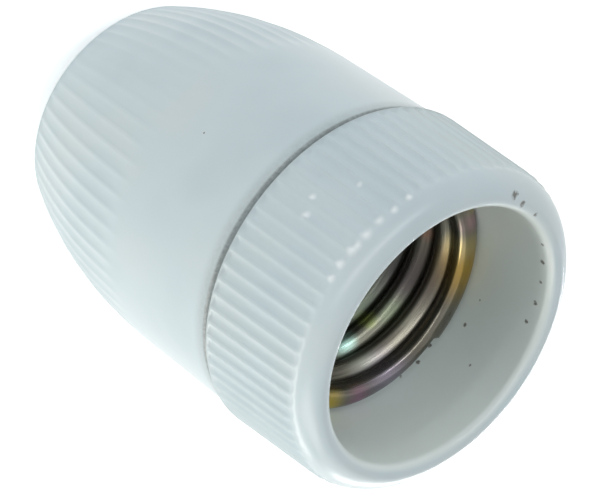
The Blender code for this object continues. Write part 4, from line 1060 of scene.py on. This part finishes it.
def makeStage():
    mesh = bpy.data.meshes.new("studioFloor")
    half = stage["floorSize"] / 2
    corners = [(x * half, y * half, 0) for x, y in ((-1, -1), (1, -1), (1, 1), (-1, 1))]
    mesh.from_pydata(corners, [], [(0, 1, 2, 3)])
    floor = bpy.data.objects.new("studioFloor", mesh)
    floor.location.z = -stage["floorDrop"]
    bpy.context.scene.collection.objects.link(floor)
    material, tree, shader, _ = newMaterial("matteWhiteFloor")
    shader.inputs["Base Color"].default_value = linear(stage["floorColour"])
    shader.inputs["Roughness"].default_value = stage["floorRoughness"]
    shader.inputs["Specular IOR Level"].default_value = 0.0
    glow = addNode(tree, "ShaderNodeMapRange", {"Value": whereSeen(tree), 3: stage["floorGlow"],
                                                4: stage["floorSeenGlow"]})
    shader.inputs["Emission Color"].default_value = (1.0, 1.0, 1.0, 1.0)
    tree.links.new(glow.outputs[0], shader.inputs["Emission Strength"])
    mesh.materials.append(material)
    world = bpy.data.worlds.new("studioWorld")
    bpy.context.scene.world = world
    world.use_nodes = True
    tree = world.node_tree
    tree.nodes.clear()
    towards = addNode(tree, "ShaderNodeTexCoord").outputs["Generated"]
    side = addNode(tree, "ShaderNodeVectorMath", {0: towards, 1: Vector(stage["fillFrom"]).normalized()},
                   operation="DOT_PRODUCT")
    fill = addNode(tree, "ShaderNodeMapRange", {"Value": side.outputs["Value"], 1: -1.0, 2: 1.0,
                                                3: stage["fill"][0], 4: stage["fill"][1]})
    strength = addNode(tree, "ShaderNodeMapRange", {"Value": whereSeen(tree), 3: fill, 4: 1.0})
    sky = addNode(tree, "ShaderNodeBackground", {"Color": (1.0, 1.0, 1.0, 1.0), "Strength": strength})
    addNode(tree, "ShaderNodeOutputWorld", {"Surface": sky})
    target = (lowestPoint + highestPoint) / 2
    for i, (place, (width, tall), watts, colour) in enumerate(stage["softboxes"]):
        data = bpy.data.lights.new(f"softbox{i + 1}", "AREA")
        data.shape = "RECTANGLE"
        data.size, data.size_y = width, tall
        data.energy = watts
        data.color = linear(colour)[:3]
        lamp = bpy.data.objects.new(data.name, data)
        lamp.location = place
        lamp.rotation_euler = (target - Vector(place)).to_track_quat("-Z", "Y").to_euler()
        bpy.context.scene.collection.objects.link(lamp)


def makeCamera():
    tilt, roll = radians(view["tilt"]), radians(view["roll"])
    forward = Vector((0.0, sin(tilt), -cos(tilt)))
    up = Vector((0.0, cos(tilt), sin(tilt)))
    across = Vector((1.0, 0.0, 0.0))
    right = up * cos(roll) - across * sin(roll)
    down = up * sin(roll) + across * cos(roll)
    wide, high = view["frame"]
    offX = (view["mouthPixel"][0] - wide / 2) / view["focalPixels"]
    offY = (view["mouthPixel"][1] - high / 2) / view["focalPixels"]
    mouth = Vector((0.0, 0.0, skirt["top"]))
    place = mouth - (forward + right * offX + down * offY) * view["mouthDistance"]
    data = bpy.data.cameras.new("photoCamera")
    data.sensor_width = view["sensor"]
    data.lens = view["sensor"] * view["focalPixels"] / wide
    data.clip_start, data.clip_end = view["clip"]
    camera = bpy.data.objects.new("photoCamera", data)
    turn = Matrix((right, -down, -forward)).transposed().to_4x4()
    camera.matrix_world = Matrix.Translation(place) @ turn
    bpy.context.scene.collection.objects.link(camera)
    bpy.context.scene.camera = camera


makeStage()
makeCamera()
bpy.context.scene.view_settings.view_transform = "Standard"
print("stage, lamps and camera ready")
